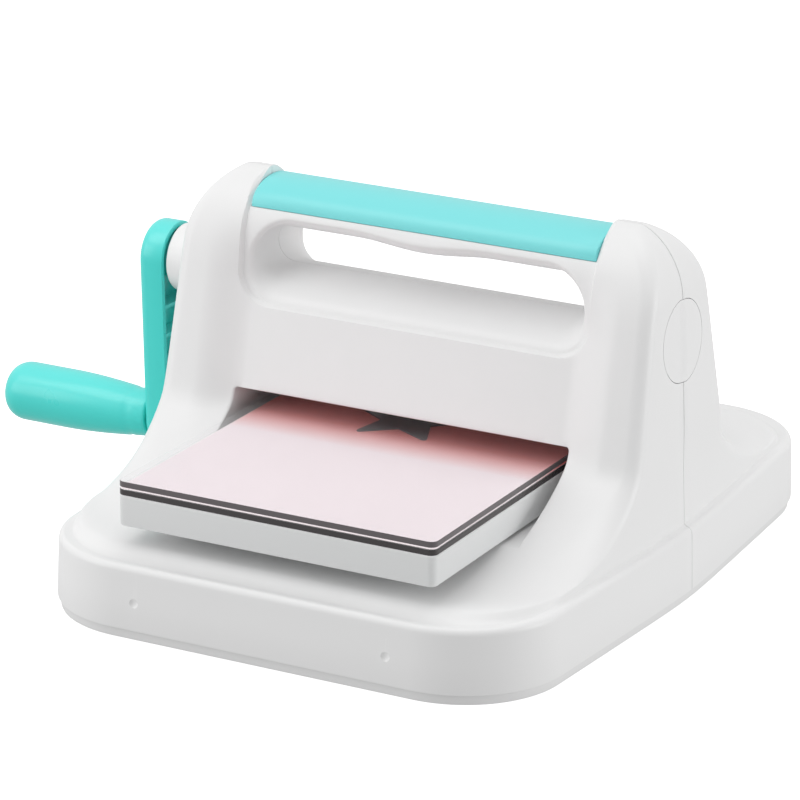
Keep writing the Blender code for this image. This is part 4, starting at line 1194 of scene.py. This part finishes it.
def make_world():
    """White surroundings, with less light from below than from above."""
    world = bpy.data.worlds.new("studio")
    world.use_nodes = True
    tree = world.node_tree
    background = tree.nodes["Background"]
    background.inputs["Color"].default_value = (1.0, 1.0, 1.0, 1.0)
    split = tree.nodes.new("ShaderNodeSeparateXYZ")
    direction = tree.nodes.new("ShaderNodeTexCoord").outputs["Generated"]
    add_link(tree, direction, split.inputs[0])
    strength = range_node(tree, split.outputs["Z"], (-0.05, 0.05), (WORLD_BELOW, WORLD_ABOVE))
    toward = tree.nodes.new("ShaderNodeVectorMath")
    toward.operation = "DOT_PRODUCT"
    toward.inputs[1].default_value = DARK_SIDE
    add_link(tree, direction, toward.inputs[0])
    shade = range_node(tree, toward.outputs["Value"], (0.3, 0.95), (1.0, DARK_LEVEL))
    product = tree.nodes.new("ShaderNodeMath")
    product.operation = "MULTIPLY"
    add_link(tree, strength, product.inputs[0])
    add_link(tree, shade, product.inputs[1])
    add_link(tree, product.outputs[0], background.inputs["Strength"])
    bpy.context.scene.world = world


def make_lights():
    """Large soft lights round the machine."""
    make_world()
    for name, place, size, power in LIGHTS:
        area_light(name, place, LIGHT_TARGET, (size, size), power)


# ---------------- carried-over parts

def dress_nodes(looks):
    """Give every CAD piece that stays visible its procedural finish."""
    for name, look in looks.items():
        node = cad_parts[name]
        node.data.materials.clear()
        node.data.materials.append(look)


def main():
    """Build every piece."""
    scene = bpy.context.scene
    scene.view_settings.view_transform = "Standard"
    white = finish("white_plastic_look", (0.87, 0.87, 0.87), 0.38, variation=0.006, wear=0.02)
    base_white = finish("base_plastic_look", (0.79, 0.79, 0.79), 0.5, variation=0.01, wear=0.03)
    platform_white = finish("platform_plastic_look", (0.76, 0.77, 0.77), 0.4, variation=0.006,
                            wear=0.03)
    # Arm and grip turquoise with painted light: the first colour is painted shade for faces
    # pointing down, the second painted highlight for faces pointing up.
    turquoise = glossy_finish_with_painted_light("turquoise_plastic_painted_light_look", (0.004, 0.68, 0.60), (0.13, 0.83, 0.79),
                              0.3)
    # The cover's turquoise is paler than the arm's; the extra paleness is painted sheen on its top.
    cover = finish("cover_plastic_painted_sheen_look", (0.22, 0.79, 0.80), 0.32, variation=0.01, wear=0.05)
    rubber = finish("rubber_look", (0.04, 0.04, 0.04), 0.85, variation=0.1, wear=0.3,
                    relief=0.00005)
    steel = finish("steel_look", (0.62, 0.63, 0.64), 0.26, variation=0.04, patch=120.0, wear=0.15,
                   metallic=1.0)
    plate_steel = finish("plate_steel_look", (0.50, 0.51, 0.52), 0.42, variation=0.06,
                         patch=90.0, wear=0.2, metallic=1.0)
    gear_steel = finish("gear_steel_look", (0.30, 0.30, 0.31), 0.42, variation=0.08, patch=90.0,
                        wear=0.3, metallic=0.8)
    brass = finish("brass_look", (0.72, 0.56, 0.30), 0.32, variation=0.06, patch=90.0, wear=0.2,
                   metallic=1.0)
    clear = clear_finish("clear_pad_look", (0.985, 0.98, 0.985), 0.10)
    # Pad edges are painted shade: the clear edges are coloured dark, and the lower pad's edge
    # darker than the upper one.
    upper_edge_painted_shade = clear_edge_painted_shade_finish("upper_edge_painted_shade_look", (0.13, 0.115, 0.12))
    lower_edge_painted_shade = clear_edge_painted_shade_finish("lower_edge_painted_shade_look", (0.05, 0.045, 0.046))
    # The card's coral band under the bridge is painted shade.
    card = card_finish_with_painted_shade("card_painted_shade_look")
    die_metal = finish("die_metal_look", (0.05, 0.05, 0.055), 0.4, variation=0.1, patch=90.0,
                       wear=0.3, metallic=0.3)

    make_shells(white)
    make_side_cap(white)
    make_collar(white)
    make_handle_cover(cover)
    make_base_plate(base_white)
    make_feet(rubber)
    make_roller("roller_upper", UPPER_AXIS, steel, "upper_roller_set", "upper_roller")
    make_roller("roller_lower", LOWER_AXIS, steel, "lower_roller_set", "lower_roller")
    make_crank_arm(turquoise)
    make_screw_cap(white)
    make_spindle(steel)
    make_grip(turquoise)
    make_stack(platform_white, clear, upper_edge_painted_shade, lower_edge_painted_shade, card, die_metal)

    looks = {}
    for name in ("left_side_plate", "right_side_plate"):
        looks[name] = plate_steel
    for name in ("upper_left_bush", "upper_right_bush", "lower_left_bush", "lower_right_bush",
                 "crank_bush"):
        looks[name] = brass
    for name in ("pinion_gear", "upper_drive_gear", "upper_timing_gear", "lower_timing_gear"):
        looks[name] = gear_steel
    for place in ("lower_front", "lower_rear", "upper_front", "upper_rear"):
        looks[place + "_tie_rod"] = steel
        looks[place + "_nut"] = steel
    for place in ("front_left", "front_right", "rear_left", "rear_right"):
        looks["base_screw_" + place] = steel
    for name in ("shell_screw_left", "shell_screw_right", "crank_shaft", "crank_shaft_ring",
                 "arm_screw", "upper_left_ring", "upper_right_ring", "lower_left_ring",
                 "lower_right_ring"):
        looks[name] = steel
    dress_nodes(looks)

    make_floor()
    make_lights()
    aim_camera()


main()
